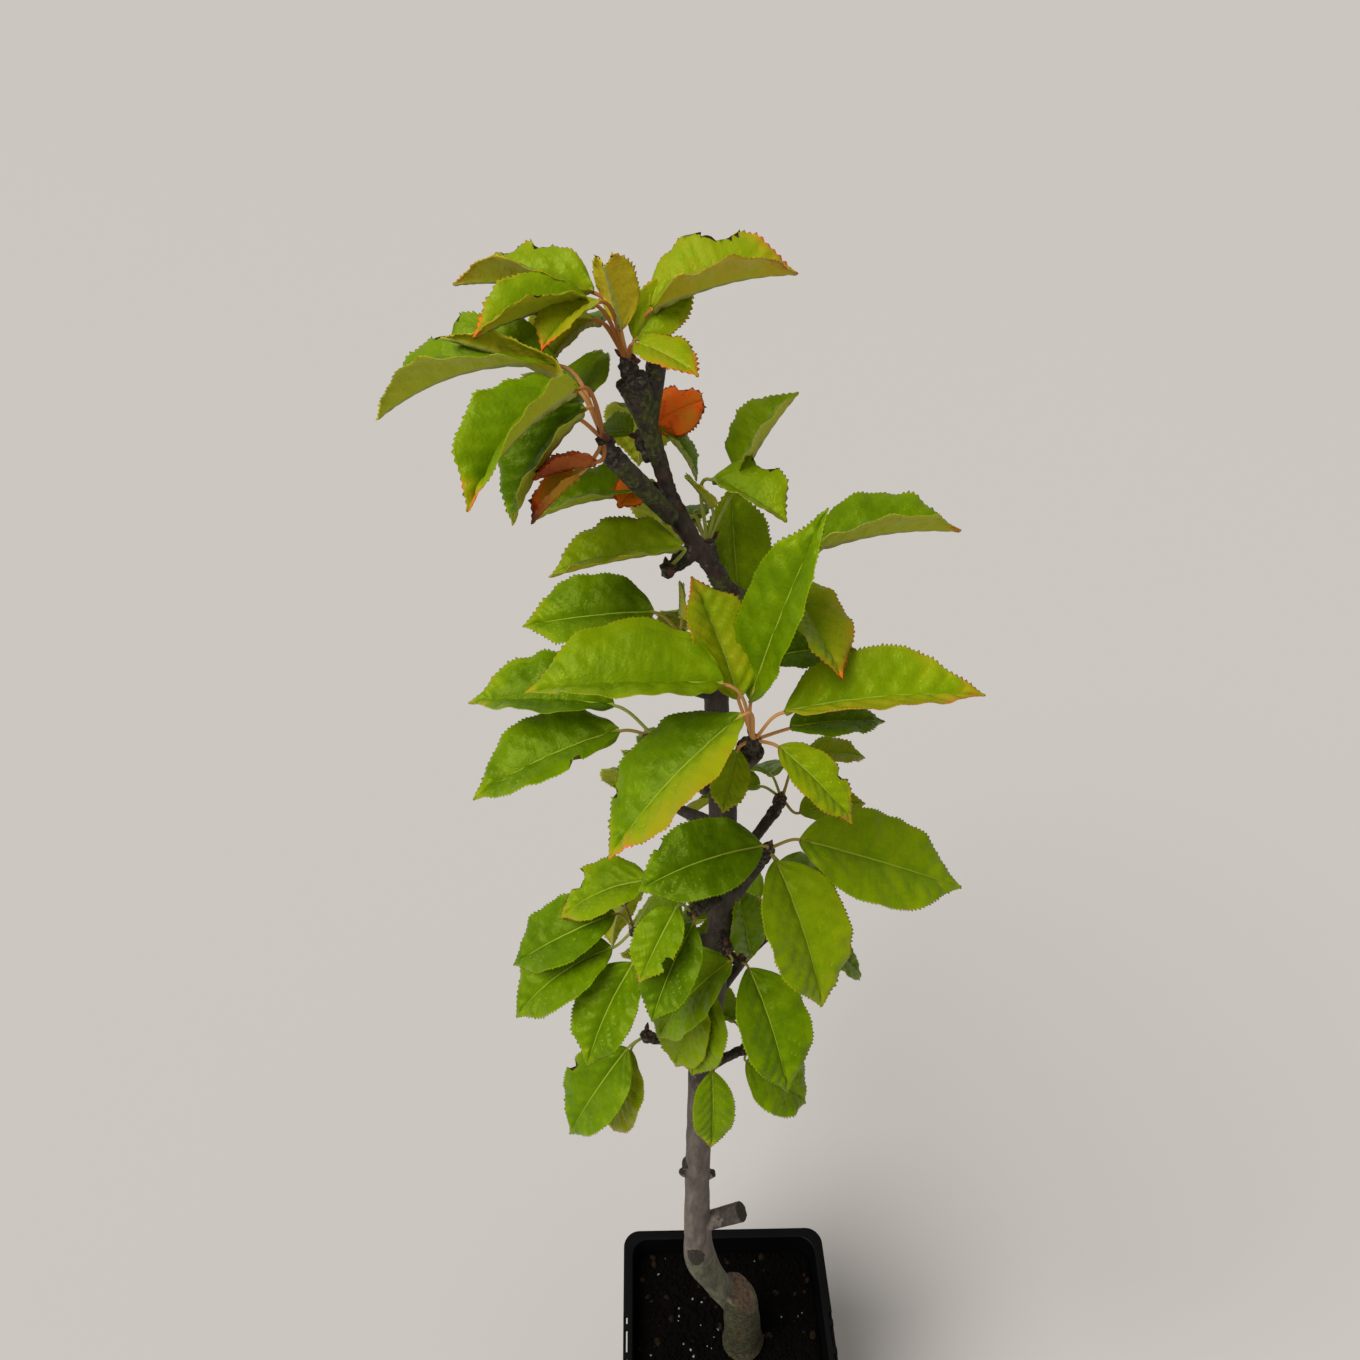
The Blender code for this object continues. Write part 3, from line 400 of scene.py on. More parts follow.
@dataclass(frozen=True)
class BarkSkin:
    """Cherry bark: matt cork with fine scales, darker in its cracks and with pale flecks."""

    name: str
    dark: str
    middle: str
    light: str
    grain_mm: float = 1.6
    relief_mm: float = 0.2
    roughness: float = 0.8
    upright: float = 1.0

    def make(self) -> bpy.types.Material:
        """Material whose colour follows a scaly grain."""
        material, tree, shader, place = blank(self.name)
        drawn = add_node(tree, "ShaderNodeMapping", {"Scale": (1, 1, self.upright)}, {"Vector": place})
        grain = add_node(tree, "ShaderNodeTexNoise",
                         {"Scale": per_mm(self.grain_mm), "Detail": 5.0, "Roughness": 0.65},
                         {"Vector": drawn.outputs["Vector"]})
        ramp = add_node(tree, "ShaderNodeValToRGB", links={"Fac": grain.outputs["Fac"]})
        set_ramp(ramp, ((0.34, self.dark), (0.52, self.middle), (0.7, self.light)))
        tree.links.new(ramp.outputs["Color"], shader.inputs["Base Color"])
        bump = add_node(tree, "ShaderNodeBump", {"Strength": 1.0, "Distance": self.relief_mm * MM},
                        {"Height": grain.outputs["Fac"]})
        tree.links.new(bump.outputs["Normal"], shader.inputs["Normal"])
        shader.inputs["Roughness"].default_value = self.roughness
        return material


@dataclass(frozen=True)
class MouldedPlastic:
    """Black polypropylene, blow-moulded thin: a low sheen with a faint orange-peel skin."""

    name: str = "moulded_polypropylene"
    colour: str = "#070707"
    roughness: float = 0.4
    shine: float = 0.12
    peel_mm: float = 1.2

    def make(self) -> bpy.types.Material:
        """Material with the skin's fine waviness and dusty patches of a duller sheen."""
        material, tree, shader, place = blank(self.name)
        shader.inputs["Base Color"].default_value = linear(self.colour)
        shader.inputs["IOR"].default_value = 1.49
        shader.inputs["Specular IOR Level"].default_value = self.shine
        peel = add_node(tree, "ShaderNodeTexNoise", {"Scale": per_mm(self.peel_mm), "Detail": 2.0}, {"Vector": place})
        bump = add_node(tree, "ShaderNodeBump", {"Strength": 0.6, "Distance": 0.03 * MM},
                        {"Height": peel.outputs["Fac"]})
        tree.links.new(bump.outputs["Normal"], shader.inputs["Normal"])
        dust = add_node(tree, "ShaderNodeTexNoise", {"Scale": per_mm(22), "Detail": 6.0}, {"Vector": place})
        spread = add_node(tree, "ShaderNodeMapRange",
                          {"From Min": 0.35, "From Max": 0.7, "To Min": self.roughness, "To Max": 0.55},
                          {"Value": dust.outputs["Fac"]})
        tree.links.new(spread.outputs["Result"], shader.inputs["Roughness"])
        return material


@dataclass(frozen=True)
class Crumb:
    """Peat, bark fines or expanded mineral: a dull grain that scatters light."""

    name: str
    dark: str
    light: str
    grain_mm: float = 1.2
    roughness: float = 0.92

    def make(self) -> bpy.types.Material:
        """Material with a speckled grain."""
        material, tree, shader, place = blank(self.name)
        grain = add_node(tree, "ShaderNodeTexNoise",
                         {"Scale": per_mm(self.grain_mm), "Detail": 4.0, "Roughness": 0.7}, {"Vector": place})
        ramp = add_node(tree, "ShaderNodeValToRGB", links={"Fac": grain.outputs["Fac"]})
        set_ramp(ramp, ((0.35, self.dark), (0.68, self.light)))
        tree.links.new(ramp.outputs["Color"], shader.inputs["Base Color"])
        bump = add_node(tree, "ShaderNodeBump", {"Strength": 1.0, "Distance": 0.25 * MM},
                        {"Height": grain.outputs["Fac"]})
        tree.links.new(bump.outputs["Normal"], shader.inputs["Normal"])
        shader.inputs["Roughness"].default_value = self.roughness
        shader.inputs["Specular IOR Level"].default_value = 0.06
        return material


class LeafTone(Enum):
    """Key tints of a leaf's upper face, in the order in which it turns, from deep green to dry."""

    DEEP = "#365000"
    SHADE = "#466200"
    GREEN = "#567400"
    FRESH = "#668202"
    BRIGHT = "#769004"
    LIME = "#849808"
    YELLOW_GREEN = "#92980E"
    YELLOW = "#A09414"
    GOLD = "#B08A1A"
    # AMBER and ORANGE are set brighter than the tissue's own tint: painted light standing in for light shining through
    # thin autumn leaves, and on a leaf that faces away from the lamp.
    AMBER = "#DA8222"
    ORANGE = "#FF6E20"
    RED = "#C8441A"
    RUSSET = "#98381E"
    DRY = "#481812"


class UnderTone(Enum):
    """Key tints of the lower face, which is paler and duller than the upper one above it. They are set paler still than
    the tissue's own colour: painted light standing in for the light bounced up from the floor and shining through the
    leaf.
    """

    SAGE = "#AEBB34"
    OLIVE = "#B8BC2A"
    STRAW = "#C8B228"
    TAN = "#BC7830"
    RUST = "#AC5230"
    UMBER = "#66301E"


class LeafMark(Enum):
    """Single tints: the midrib from above and below, and the corky rim of a bite."""

    MIDRIB = "#98A834"
    UNDER_RIB = "#AEB25A"
    SCAB = "#3C2010"


def mixed(first: str, second: str, share: float) -> str:
    """Hex colour between two hex colours."""
    pairs = ((int(first[i:i + 2], 16), int(second[i:i + 2], 16)) for i in (1, 3, 5))
    return "#" + "".join("%02X" % round(a + (b - a) * share) for a, b in pairs)


class LeafPalette:
    """Every tint of the leaves' faces: the upper ramp, the lower ramp, then the single marks.

    A tint's value counts the key tints of the upper ramp, so 0 is deep green and 13 is dry.
    """

    steps: int = 3
    under_per_value: float = 0.42

    def __init__(self) -> None:
        """Mixes the steps between the key tints."""
        self.rows = self.ramp("leaf", list(LeafTone), 0.36)
        self.under_start = len(self.rows)
        self.rows += self.ramp("leaf_back", list(UnderTone), 0.55)
        self.mark_start = len(self.rows)
        self.rows += [LeafSkin("leaf_" + mark.name.lower(), mark.value, 0.5) for mark in LeafMark]
        self.last = len(LeafTone) - 1

    def ramp(self, name: str, tones: Sequence[Enum], roughness: float) -> list[LeafSkin]:
        """Skins from the first tone to the last one."""
        count = (len(tones) - 1) * self.steps + 1
        out = []
        for k in range(count):
            i, share = divmod(k, self.steps)
            after = tones[min(i + 1, len(tones) - 1)]
            colour = mixed(tones[i].value, after.value, share / self.steps)
            out.append(LeafSkin("%s_%s_%d" % (name, tones[i].name.lower(), share), colour, roughness))
        return out

    def upper(self, value: float) -> int:
        """Number of the upper tint of that value."""
        return round(min(self.last, max(0.0, value)) * self.steps)

    def under(self, value: float) -> int:
        """Number of the lower tint that lies under an upper tint of that value."""
        place = min(self.last, max(0.0, value - 1.5)) * self.under_per_value
        return self.under_start + round(min(place, len(UnderTone) - 1) * self.steps)

    def mark(self, mark: LeafMark) -> int:
        """Number of a single tint."""
        return self.mark_start + list(LeafMark).index(mark)


PALETTE = LeafPalette()


class StalkTone(Enum):
    """Tones of the leaf stalks."""

    GREEN = "#98A04A"
    OLIVE = "#A08C46"
    PEACH = "#CC9258"
    RUSSET = "#B2703F"


class WoodTone(Enum):
    """Barks of the tree by their place.

    Each is its name, its dark, middle and light colour, and where they differ from plain bark also
    its grain and relief in mm, its roughness and how far its grain is drawn out along the trunk.
    """

    STOCK = ("rootstock_bark", "#1C180D", "#3A351D", "#5A5030", 2.2)
    GREENED = ("greened_bark", "#3C3B2A", "#55543F", "#6C6A52", 4.0, 0.16, 0.8, 0.5)
    LOWER = ("old_trunk_bark", "#484038", "#5E544B", "#756A60", 4.0, 0.14, 0.75, 0.3)
    MIDDLE = ("trunk_bark", "#241D18", "#3A3029", "#51463C", 3.2, 0.16, 0.75, 0.35)
    UPPER = ("young_bark", "#1C110D", "#33211A", "#4A352B", 2.6, 0.1, 0.55, 0.4)
    SPUR = ("spur_bark", "#14100D", "#332A22", "#6A5E50", 1.4, 0.3, 0.85)
    LICHEN = ("lichen", "#22240F", "#44461F", "#686838", 1.4, 0.3, 0.9)
    FLECK = ("pale_bark_scales", "#35302A", "#575047", "#787063")
    MOSS = ("moss", "#1C2A0C", "#34461A", "#546830")
    CUT = ("cut_wood", "#33261A", "#5A442E", "#7A5F44", 2.4)
    SCAR = ("weathered_cut", "#120E07", "#251E10", "#3A3120")


# Meshes

@dataclass
class Shell:
    """A mesh that is being put together: its points, its faces and each face's tone."""

    points: list = field(default_factory=list)
    faces: list = field(default_factory=list)
    tones: list = field(default_factory=list)

    def add(self, points: Iterable, faces: Iterable, tones: Iterable[int] | int = 0) -> None:
        """Adds points and the faces between them.

        Args:
            points: places in metres.
            faces: tuples of numbers of those points.
            tones: one tone for each face, or one for all.
        """
        start = len(self.points)
        self.points.extend(tuple(point) for point in points)
        added = [tuple(start + i for i in face) for face in faces]
        self.faces.extend(added)
        self.tones.extend([tones] * len(added) if isinstance(tones, int) else tones)

    @property
    def triangles(self) -> int:
        """How many triangles the faces make."""
        return sum(len(face) - 2 for face in self.faces)

    def make(self, name: str, materials: Sequence[bpy.types.Material]) -> bpy.types.Object:
        """Smooth-shaded object of the mesh."""
        mesh = bpy.data.meshes.new(name)
        mesh.from_pydata(self.points, [], self.faces)
        for material in materials:
            mesh.materials.append(material)
        mesh.polygons.foreach_set("material_index", self.tones)
        mesh.polygons.foreach_set("use_smooth", [True] * len(self.faces))
        mesh.update()
        obj = bpy.data.objects.new(name, mesh)
        bpy.context.scene.collection.objects.link(obj)
        return obj


def place_piece(piece: bpy.types.Object, nodes: Sequence[str] = ()) -> None:
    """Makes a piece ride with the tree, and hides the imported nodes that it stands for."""
    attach(piece, BODY)
    if nodes:
        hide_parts(*nodes)
    LOG.info("%s: %d faces", piece.name, len(piece.data.polygons))


def polar(turn: float, rise: float) -> Vector:
    """Unit vector at a turn round +Z and a rise above level."""
    a = math.radians(turn)
    b = math.radians(rise)
    return Vector((math.cos(a) * math.cos(b), math.sin(a) * math.cos(b), math.sin(b)))


def smooth_route(knots: Sequence[Knot], step_mm: float) -> list[tuple[Vector, float]]:
    """Points and radii along a smooth curve through the knots, in metres."""
    places = [knot.place for knot in knots]
    out = []
    for i in range(len(knots) - 1):
        a, b = places[i], places[i + 1]
        before = places[i - 1] if i else 2 * a - b
        after = places[i + 2] if i + 2 < len(places) else 2 * b - a
        steps = max(1, round((b - a).length / (step_mm * MM)))
        for k in range(steps):
            t = k / steps
            point = 0.5 * (
                2 * a + (b - before) * t + (2 * before - 5 * a + 4 * b - after) * t * t
                + (3 * a - before - 3 * b + after) * t ** 3
            )
            ease = t * t * (3 - 2 * t)
            diameter = knots[i].diameter * (1 - ease) + knots[i + 1].diameter * ease
            out.append((point, diameter * MM / 2))
    out.append((places[-1], knots[-1].diameter * MM / 2))
    return out


def sweep(route: Sequence[tuple[Vector, float]], sides: int) -> tuple[list[Vector], list[tuple[int, ...]]]:
    """Closed tube with flat ends.

    Args:
        route: places and radii along the tube.
        sides: how many sides it has.

    Returns:
        Its points and faces.
    """
    points, faces = [], []
    side = None
    for i, (place, radius) in enumerate(route):
        ahead = (route[min(i + 1, len(route) - 1)][0] - route[max(i - 1, 0)][0]).normalized()
        side = ahead.orthogonal() if side is None else side - ahead * side.dot(ahead)
        side.normalize()
        up = ahead.cross(side)
        for k in range(sides):
            a = math.tau * k / sides
            points.append(place + (side * math.cos(a) + up * math.sin(a)) * radius)
    for i in range(len(route) - 1):
        for k in range(sides):
            a, b = i * sides + k, i * sides + (k + 1) % sides
            faces.append((a, b, b + sides, a + sides))
    last = (len(route) - 1) * sides
    faces.append(tuple(reversed(range(sides))))
    faces.append(tuple(range(last, last + sides)))
    return points, faces


# The source's rule for the leaves, written again

@dataclass(frozen=True)
class GrowthRule:
    """Sizes of the source's plain leaves and the ranges that its seeded rule draws from."""

    seed: int = 20
    clearance: float = 0.3 * MM
    weld: float = 0.01 * MM
    leaf_thickness: float = 0.75 * MM
    leaf_steps: int = 4
    stalk_diameter: float = 1.7 * MM
    stalk_steps: int = 3
    stalk_sides: int = 4
    stalk_in_blade: float = 0.3
    golden_turn: float = 137.5
    tries_per_leaf: int = 16
    lifts: tuple[float, float] = (0, 45)
    stalks_mm: tuple[float, float] = (9, 16)
    blades_mm: tuple[float, float] = (34, 48)
    folds: tuple[float, float] = (10, 35)
    rolls: tuple[float, float] = (-15, 15)


RULE = GrowthRule()
HALF_WIDTH_SHARE = 0.285
END_WIDTH_SHARE = 0.03
WIDEST_LATE = 1.1
FULLNESS = 0.75


class Spray:
    """The geometry of one leaf that grows from a head."""

    def __init__(self, leaf: Leaf, head: Vector) -> None:
        """Places the leaf's base at its stalk's end."""
        self.leaf = leaf
        self.head = head
        self.turn = leaf.turn + leaf.swing
        self.base = head + polar(leaf.turn, leaf.lift) * leaf.stalk * MM
        self.length = leaf.blade * MM
        self.half_width = HALF_WIDTH_SHARE * self.length * leaf.broad

    def midrib(self, t: float) -> tuple[Vector, Vector]:
        """Place and direction at the share t of the blade's length."""
        bend = math.radians(self.leaf.droop)
        start = math.radians(self.leaf.rise) + bend / 2
        now = start - bend * t
        along = (math.sin(start) - math.sin(now)) / bend
        up = (math.cos(now) - math.cos(start)) / bend
        level = polar(self.turn, 0)
        place = self.base + (level * along + Vector((0, 0, up))) * self.length
        return place, level * math.cos(now) + Vector((0, 0, math.sin(now)))

    def surface(self, t: float, across: float) -> Vector:
        """Point on the plain blade's upper face; across runs from -1 to 1."""
        place, ahead = self.midrib(t)
        side = Matrix.Rotation(math.radians(self.leaf.roll), 3, ahead) @ polar(self.turn + 90, 0)
        up = ahead.cross(side)
        swell = math.sin(math.pi * t ** WIDEST_LATE) ** FULLNESS
        width = self.half_width * (END_WIDTH_SHARE + (1 - END_WIDTH_SHARE) * swell)
        fold = math.radians(self.leaf.fold)
        return place + width * (side * across * math.cos(fold) + up * abs(across) * math.sin(fold))

    def bezier(self, steps: int) -> list[Vector]:
        """Places along the stalk, from the head to the blade's base."""
        start = polar(self.leaf.turn, self.leaf.lift)
        end = self.midrib(0)[1]
        reach = self.leaf.stalk * MM / 3
        bends = (self.head, self.head + start * reach, self.base - end * reach, self.base)
        out = []
        for i in range(steps + 1):
            t = i / steps
            weights = ((1 - t) ** 3, 3 * t * (1 - t) ** 2, 3 * t * t * (1 - t), t ** 3)
            out.append(sum((bend * weight for bend, weight in zip(bends, weights)), Vector()))
        return out

    def plain_blade(self, thickness: float) -> BVHTree:
        """Search tree of the source's blade."""
        bm = bmesh.new()
        bmesh.ops.create_grid(bm, x_segments=RULE.leaf_steps, y_segments=2, size=1)
        for vert in bm.verts:
            t = min(1, max(0, (vert.co.x + 1) / 2))
            vert.co = self.surface(t, vert.co.y)
        bmesh.ops.solidify(bm, geom=bm.faces[:], thickness=thickness)
        bmesh.ops.recalc_face_normals(bm, faces=bm.faces[:])
        tree = BVHTree.FromBMesh(bm, epsilon=0)
        bm.free()
        return tree

    def plain_stalk(self, diameter: float) -> BVHTree:
        """Search tree of the source's stalk."""
        places = [*self.bezier(RULE.stalk_steps), self.midrib(RULE.stalk_in_blade)[0]]
        points, faces = sweep([(place, diameter / 2) for place in places], RULE.stalk_sides)
        return BVHTree.FromPolygons(points, faces)


def seeded_leaf(rng: random.Random, cluster: Cluster, turn: float) -> Leaf:
    """One leaf of the rule; the turn is dealt out between the cluster's two turns."""
    first, last = cluster.turns
    return Leaf(
        turn=first + (turn % 360) / 360 * (last - first), lift=rng.uniform(*RULE.lifts),
        stalk=rng.uniform(*RULE.stalks_mm), rise=rng.uniform(*cluster.rises), blade=rng.uniform(*RULE.blades_mm),
        fold=rng.uniform(*RULE.folds), roll=rng.uniform(*RULE.rolls),
    )


def grow(limbs: Sequence[BVHTree]) -> dict[Cluster, list[Spray]]:
    """Grows every mass: its shown leaves, then those of the seeded rule where there is room.

    Args:
        limbs: search trees of the trunk and boughs.

    Returns:
        The sprays of each cluster.
    """
    rng = random.Random(RULE.seed)
    sprays = {cluster: [Spray(leaf, Vector(cluster.head) * MM) for leaf in cluster.leaves] for cluster in CLUSTERS}
    blades = [spray.plain_blade(RULE.leaf_thickness) for row in sprays.values() for spray in row]
    stalks = {cluster: [spray.plain_stalk(RULE.stalk_diameter) for spray in row] for cluster, row in sprays.items()}
    for cluster in CLUSTERS:
        turn = rng.uniform(0, 360)
        wanted = len(cluster.leaves) + cluster.extra
        for _ in range(RULE.tries_per_leaf * cluster.extra):
            if len(sprays[cluster]) == wanted:
                break
            turn += RULE.golden_turn
            spray = Spray(seeded_leaf(rng, cluster, turn), Vector(cluster.head) * MM)
            blade = spray.plain_blade(RULE.leaf_thickness + 2 * RULE.clearance)
            stalk = spray.plain_stalk(RULE.stalk_diameter + 2 * RULE.clearance)
            others = [tree for other, row in stalks.items() if other != cluster for tree in row]
            if any(blade.overlap(tree) or stalk.overlap(tree) for tree in [*limbs, *blades, *others]):
                continue
            sprays[cluster].append(spray)
            blades.append(blade)
            stalks[cluster].append(stalk)
    return sprays


# Foliage

@dataclass(frozen=True)
class BladeForm:
    """Sizes of a blade's fine shape."""

    half_width_share: float = 0.3
    widest_early: float = 0.86
    belly: float = 2.2
    fullness: float = 0.9
    drawn_from: float = 0.7
    drawn_by: float = 0.5
    tooth_mm: float = 1.35
    tooth_depth_mm: float = 0.8
    tooth_lean: float = 0.35
    tooth_rise: tuple[float, ...] = (0.0, 1.0)
    margin_mm: float = 0.3
    midrib_mm: float = 0.34
    inner_shares: tuple[float, ...] = (0.13, 0.27, 0.41, 0.55, 0.69, 0.83)
    thickness_mm: float = 0.3
    ridge_mm: float = 0.7
    vein_pairs: int = 7
    vein_slant: float = 0.8
    vein_curve: float = 0.3
    quilt_mm: float = 1.2
    pucker_mm: float = 0.75
    pucker_span_mm: float = 4.4
    groove_mm: float = 0.35
    vein_tint: float = 1.7
    hollow: float = 0.25
    ruffle: float = 0.045
    sickle: float = 0.03


FORM = BladeForm()


def eased(value: np.ndarray | float) -> np.ndarray | float:
    """Smooth step from 0 to 1."""
    share = np.clip(value, 0, 1)
    return share * share * (3 - 2 * share)


class Blade:
    """The fine blade of one spray: toothed, folded, and quilted between its side veins."""

    def __init__(self, spray: Spray, rng: random.Random) -> None:
        """Draws the blade's own irregularities and lays out its flat net of points."""
        self.spray = spray
        self.leaf = spray.leaf
        self.rng = rng
        self.length = spray.length
        self.half_width = FORM.half_width_share * spray.length * self.leaf.broad
        self.phases = [rng.uniform(0, math.tau) for _ in range(4)]
        self.bend = rng.uniform(-1, 1) * FORM.sickle
        self.seed_place = Vector((rng.uniform(0, 9), rng.uniform(0, 9), rng.uniform(0, 9)))
        self.lay_out()

    def width(self, t: np.ndarray) -> np.ndarray:
        """Half width of the blade at the shares t of its length: round at its base, drawn out at its tip."""
        t = np.clip(t, 0, 1)
        swell = np.maximum(1 - np.abs(2 * t ** FORM.widest_early - 1) ** FORM.belly, 0) ** FORM.fullness
        drawn = 1 - FORM.drawn_by * eased((t - FORM.drawn_from) / (1 - FORM.drawn_from))
        return self.half_width * np.maximum(swell * drawn, END_WIDTH_SHARE)

    def lay_out(self) -> None:
        """Sets the flat net: x along the blade, y across it, teeth on the margin and bites cut out."""
        teeth = max(10, round(self.length / (FORM.tooth_mm * MM)))
        phases = len(FORM.tooth_rise)
        t = np.append(np.arange(teeth * phases) / (teeth * phases), 1.0)
        width = self.width(t)
        margin = np.minimum(FORM.margin_mm * MM, 0.3 * width)
        midrib = np.minimum(FORM.midrib_mm * MM * (1.15 - t), 0.25 * width)
        half = [np.zeros_like(t), midrib]
        half += [midrib + (width - margin - midrib) * share for share in FORM.inner_shares]
        half.append(width - margin)
        fade = np.clip(t * 9 - 0.4, 0, 1) * np.clip((1 - t) * 10, 0.25, 1)
        edges, leans = [], []
        for _ in range(2):
            size = np.repeat([self.rng.uniform(0.45, 1.15) for _ in range(teeth)], phases)
            rise = np.append(np.tile(FORM.tooth_rise, teeth) * size, 0.0) * fade
            edges.append(width + rise * FORM.tooth_depth_mm * MM)
            leans.append(rise * FORM.tooth_lean * FORM.tooth_mm * MM)
        columns = [-edges[0]] + [-row for row in reversed(half[1:])] + half + [edges[1]]
        self.y = np.stack(columns, axis=1)
        self.x = np.repeat(t[:, None] * self.length, self.y.shape[1], axis=1)
        for edge, lean in zip((0, -1), leans):
            self.x[:, edge] = np.minimum(self.x[:, edge] + lean, self.length)
        self.middle = len(half)
        self.kept = np.ones(self.x.shape, bool)
        self.snapped = np.zeros(self.x.shape, bool)
        for bite in self.leaf.bites:
            self.take_bite(bite)

    def take_bite(self, bite: Bite) -> None:
        """Cuts a round bite: points near its rim move onto the rim and those inside it go."""
        cx = bite.along * self.length
        cy = bite.across * float(self.width(np.array([min(bite.along, 0.999)]))[0])
        radius = bite.radius_mm * MM
        dx, dy = self.x - cx, self.y - cy
        away = np.hypot(dx, dy)
        ragged = 1 + 0.08 * np.sin(5 * np.arctan2(dy, dx) + self.phases[0])
        inside = away < radius * ragged
        outside = np.pad(~inside, 1, mode="edge")
        beside = np.zeros_like(inside)
        for di in (0, 1, 2):
            for dj in (0, 1, 2):
                beside |= outside[di:di + inside.shape[0], dj:dj + inside.shape[1]]
        rim = inside & beside & self.kept
        scale = np.where(rim, radius * ragged / np.maximum(away, 1e-9), 1)
        self.x = cx + dx * scale
        self.y = cy + dy * scale
        self.snapped |= rim
        self.kept &= ~(inside & ~beside)

    def pucker(self, spots: np.ndarray) -> np.ndarray:
        """Height of the fine puckers, as a share of their size, at the net's points."""
        out = np.empty(spots.shape[:2])
        for i in range(spots.shape[0]):
            for j in range(spots.shape[1]):
                out[i, j] = noise.noise(self.seed_place + Vector(spots[i, j]))
        return out

    def place(self) -> tuple[np.ndarray, np.ndarray, np.ndarray]:
        """Folds, bends and quilts the net.

        Returns:
            The upper face's points, its normals and how near each point is to a side vein.
        """
        leaf = self.leaf
        t = np.clip(self.x / self.length, 0, 1)
        bend = math.radians(leaf.droop)
        start = math.radians(leaf.rise) + bend / 2
        now = start - bend * t
        level = np.array(polar(self.spray.turn, 0))
        level_side = np.array(polar(self.spray.turn + 90, 0))
        rise = np.array((0.0, 0.0, 1.0))
        along = (math.sin(start) - np.sin(now)) / bend
        up = (np.cos(now) - math.cos(start)) / bend
        line = np.array(self.spray.base) + (along[..., None] * level + up[..., None] * rise) * self.length
        ahead = np.cos(now)[..., None] * level + np.sin(now)[..., None] * rise
        over = np.cross(ahead, level_side)
        twist = math.radians(leaf.roll) + (math.radians(leaf.twist) + self.bend * 4) * (t - 0.5)
        side = level_side * np.cos(twist)[..., None] + over * np.sin(twist)[..., None]
        normal = np.cross(ahead, side)
        width = self.width(t)
        share = np.clip(np.abs(self.y) / width, 0, 1.15)
        fold = math.radians(leaf.fold)
        height = np.abs(self.y) * math.sin(fold) * (1 + FORM.hollow * (1 - share))
        waves = np.where(self.y > 0, np.sin(math.tau * 2.6 * t + self.phases[1]),
                         np.sin(math.tau * 3.1 * t + self.phases[2]))
        waves += 0.45 * np.sin(math.tau * 6.3 * t + self.phases[3] + np.sign(self.y))
        height += FORM.ruffle * self.half_width * share ** 2.5 * waves * np.clip(4 * (1 - t), 0, 1)
        height -= leaf.curl * width * share ** 3
        spacing = self.length / (FORM.vein_pairs + 1)
        offset = np.where(self.y > 0, 0.0, 0.5)
        count = (self.x - FORM.vein_slant * np.abs(self.y) - FORM.vein_curve * self.y ** 2 / self.half_width)
        count = count / spacing + offset
        bulge = np.abs(np.sin(np.pi * count)) ** 0.7
        fade = np.clip(share * 6, 0, 1) * np.clip((1 - share) * 3, 0, 1) * np.clip(8 * (1 - t), 0, 1)
        small = min(1, self.length / (40 * MM))
        height += FORM.quilt_mm * MM * bulge * fade * small
        spots = np.stack([self.x, self.y, np.zeros_like(self.x)], axis=-1) / (FORM.pucker_span_mm * MM)
        height += FORM.pucker_mm * MM * self.pucker(spots) * np.clip(share * 4, 0, 1) * small
        height -= np.where(share < 0.02, FORM.groove_mm * MM * (1 - 0.6 * t), 0)
        sway = self.bend * self.length * np.sin(np.pi * t)
        points = line + side * (self.y * math.cos(fold) + sway)[..., None] + normal * height[..., None]
        du = np.gradient(points, axis=0)
        dv = np.gradient(points, axis=1)
        normals = np.cross(du, dv)
        normals /= np.maximum(np.linalg.norm(normals, axis=2, keepdims=True), 1e-12)
        return points, normals, (1 - bulge) * fade

    def tint(self, x: float, y: float, share: float, vein: float) -> float:
        """Value of the upper tint of a face at x along and y across the blade.

        Args:
            x: metres along the blade.
            y: metres across it.
            share: how near the margin the face is, from 0 to 1.
            vein: how near a side vein it is, from 0 to 1.

        Returns:
            The value in the palette's steps.
        """
        leaf = self.leaf
        t = x / self.length
        spot = Vector((x, y, 0)) / (7 * MM) + self.seed_place
        cloud = noise.noise(spot) * 0.8 + noise.noise(spot * 2.7) * 0.4
        near = min(1.0, max(0.0, (t - (1 - leaf.blush) + 0.1 * cloud) / max(leaf.blush, 0.05)))
        flush = leaf.tip * near ** 1.8
        rim = leaf.edge * share ** 4 * (0.35 + 0.65 * eased(t * 1.3))
        flank = abs(leaf.flank) * max(0.0, math.copysign(1.0, leaf.flank) * y / self.half_width) ** 0.35
        return leaf.ripe + flush + rim + flank + FORM.vein_tint * vein ** 2 + cloud * (1.0 + 0.4 * near)

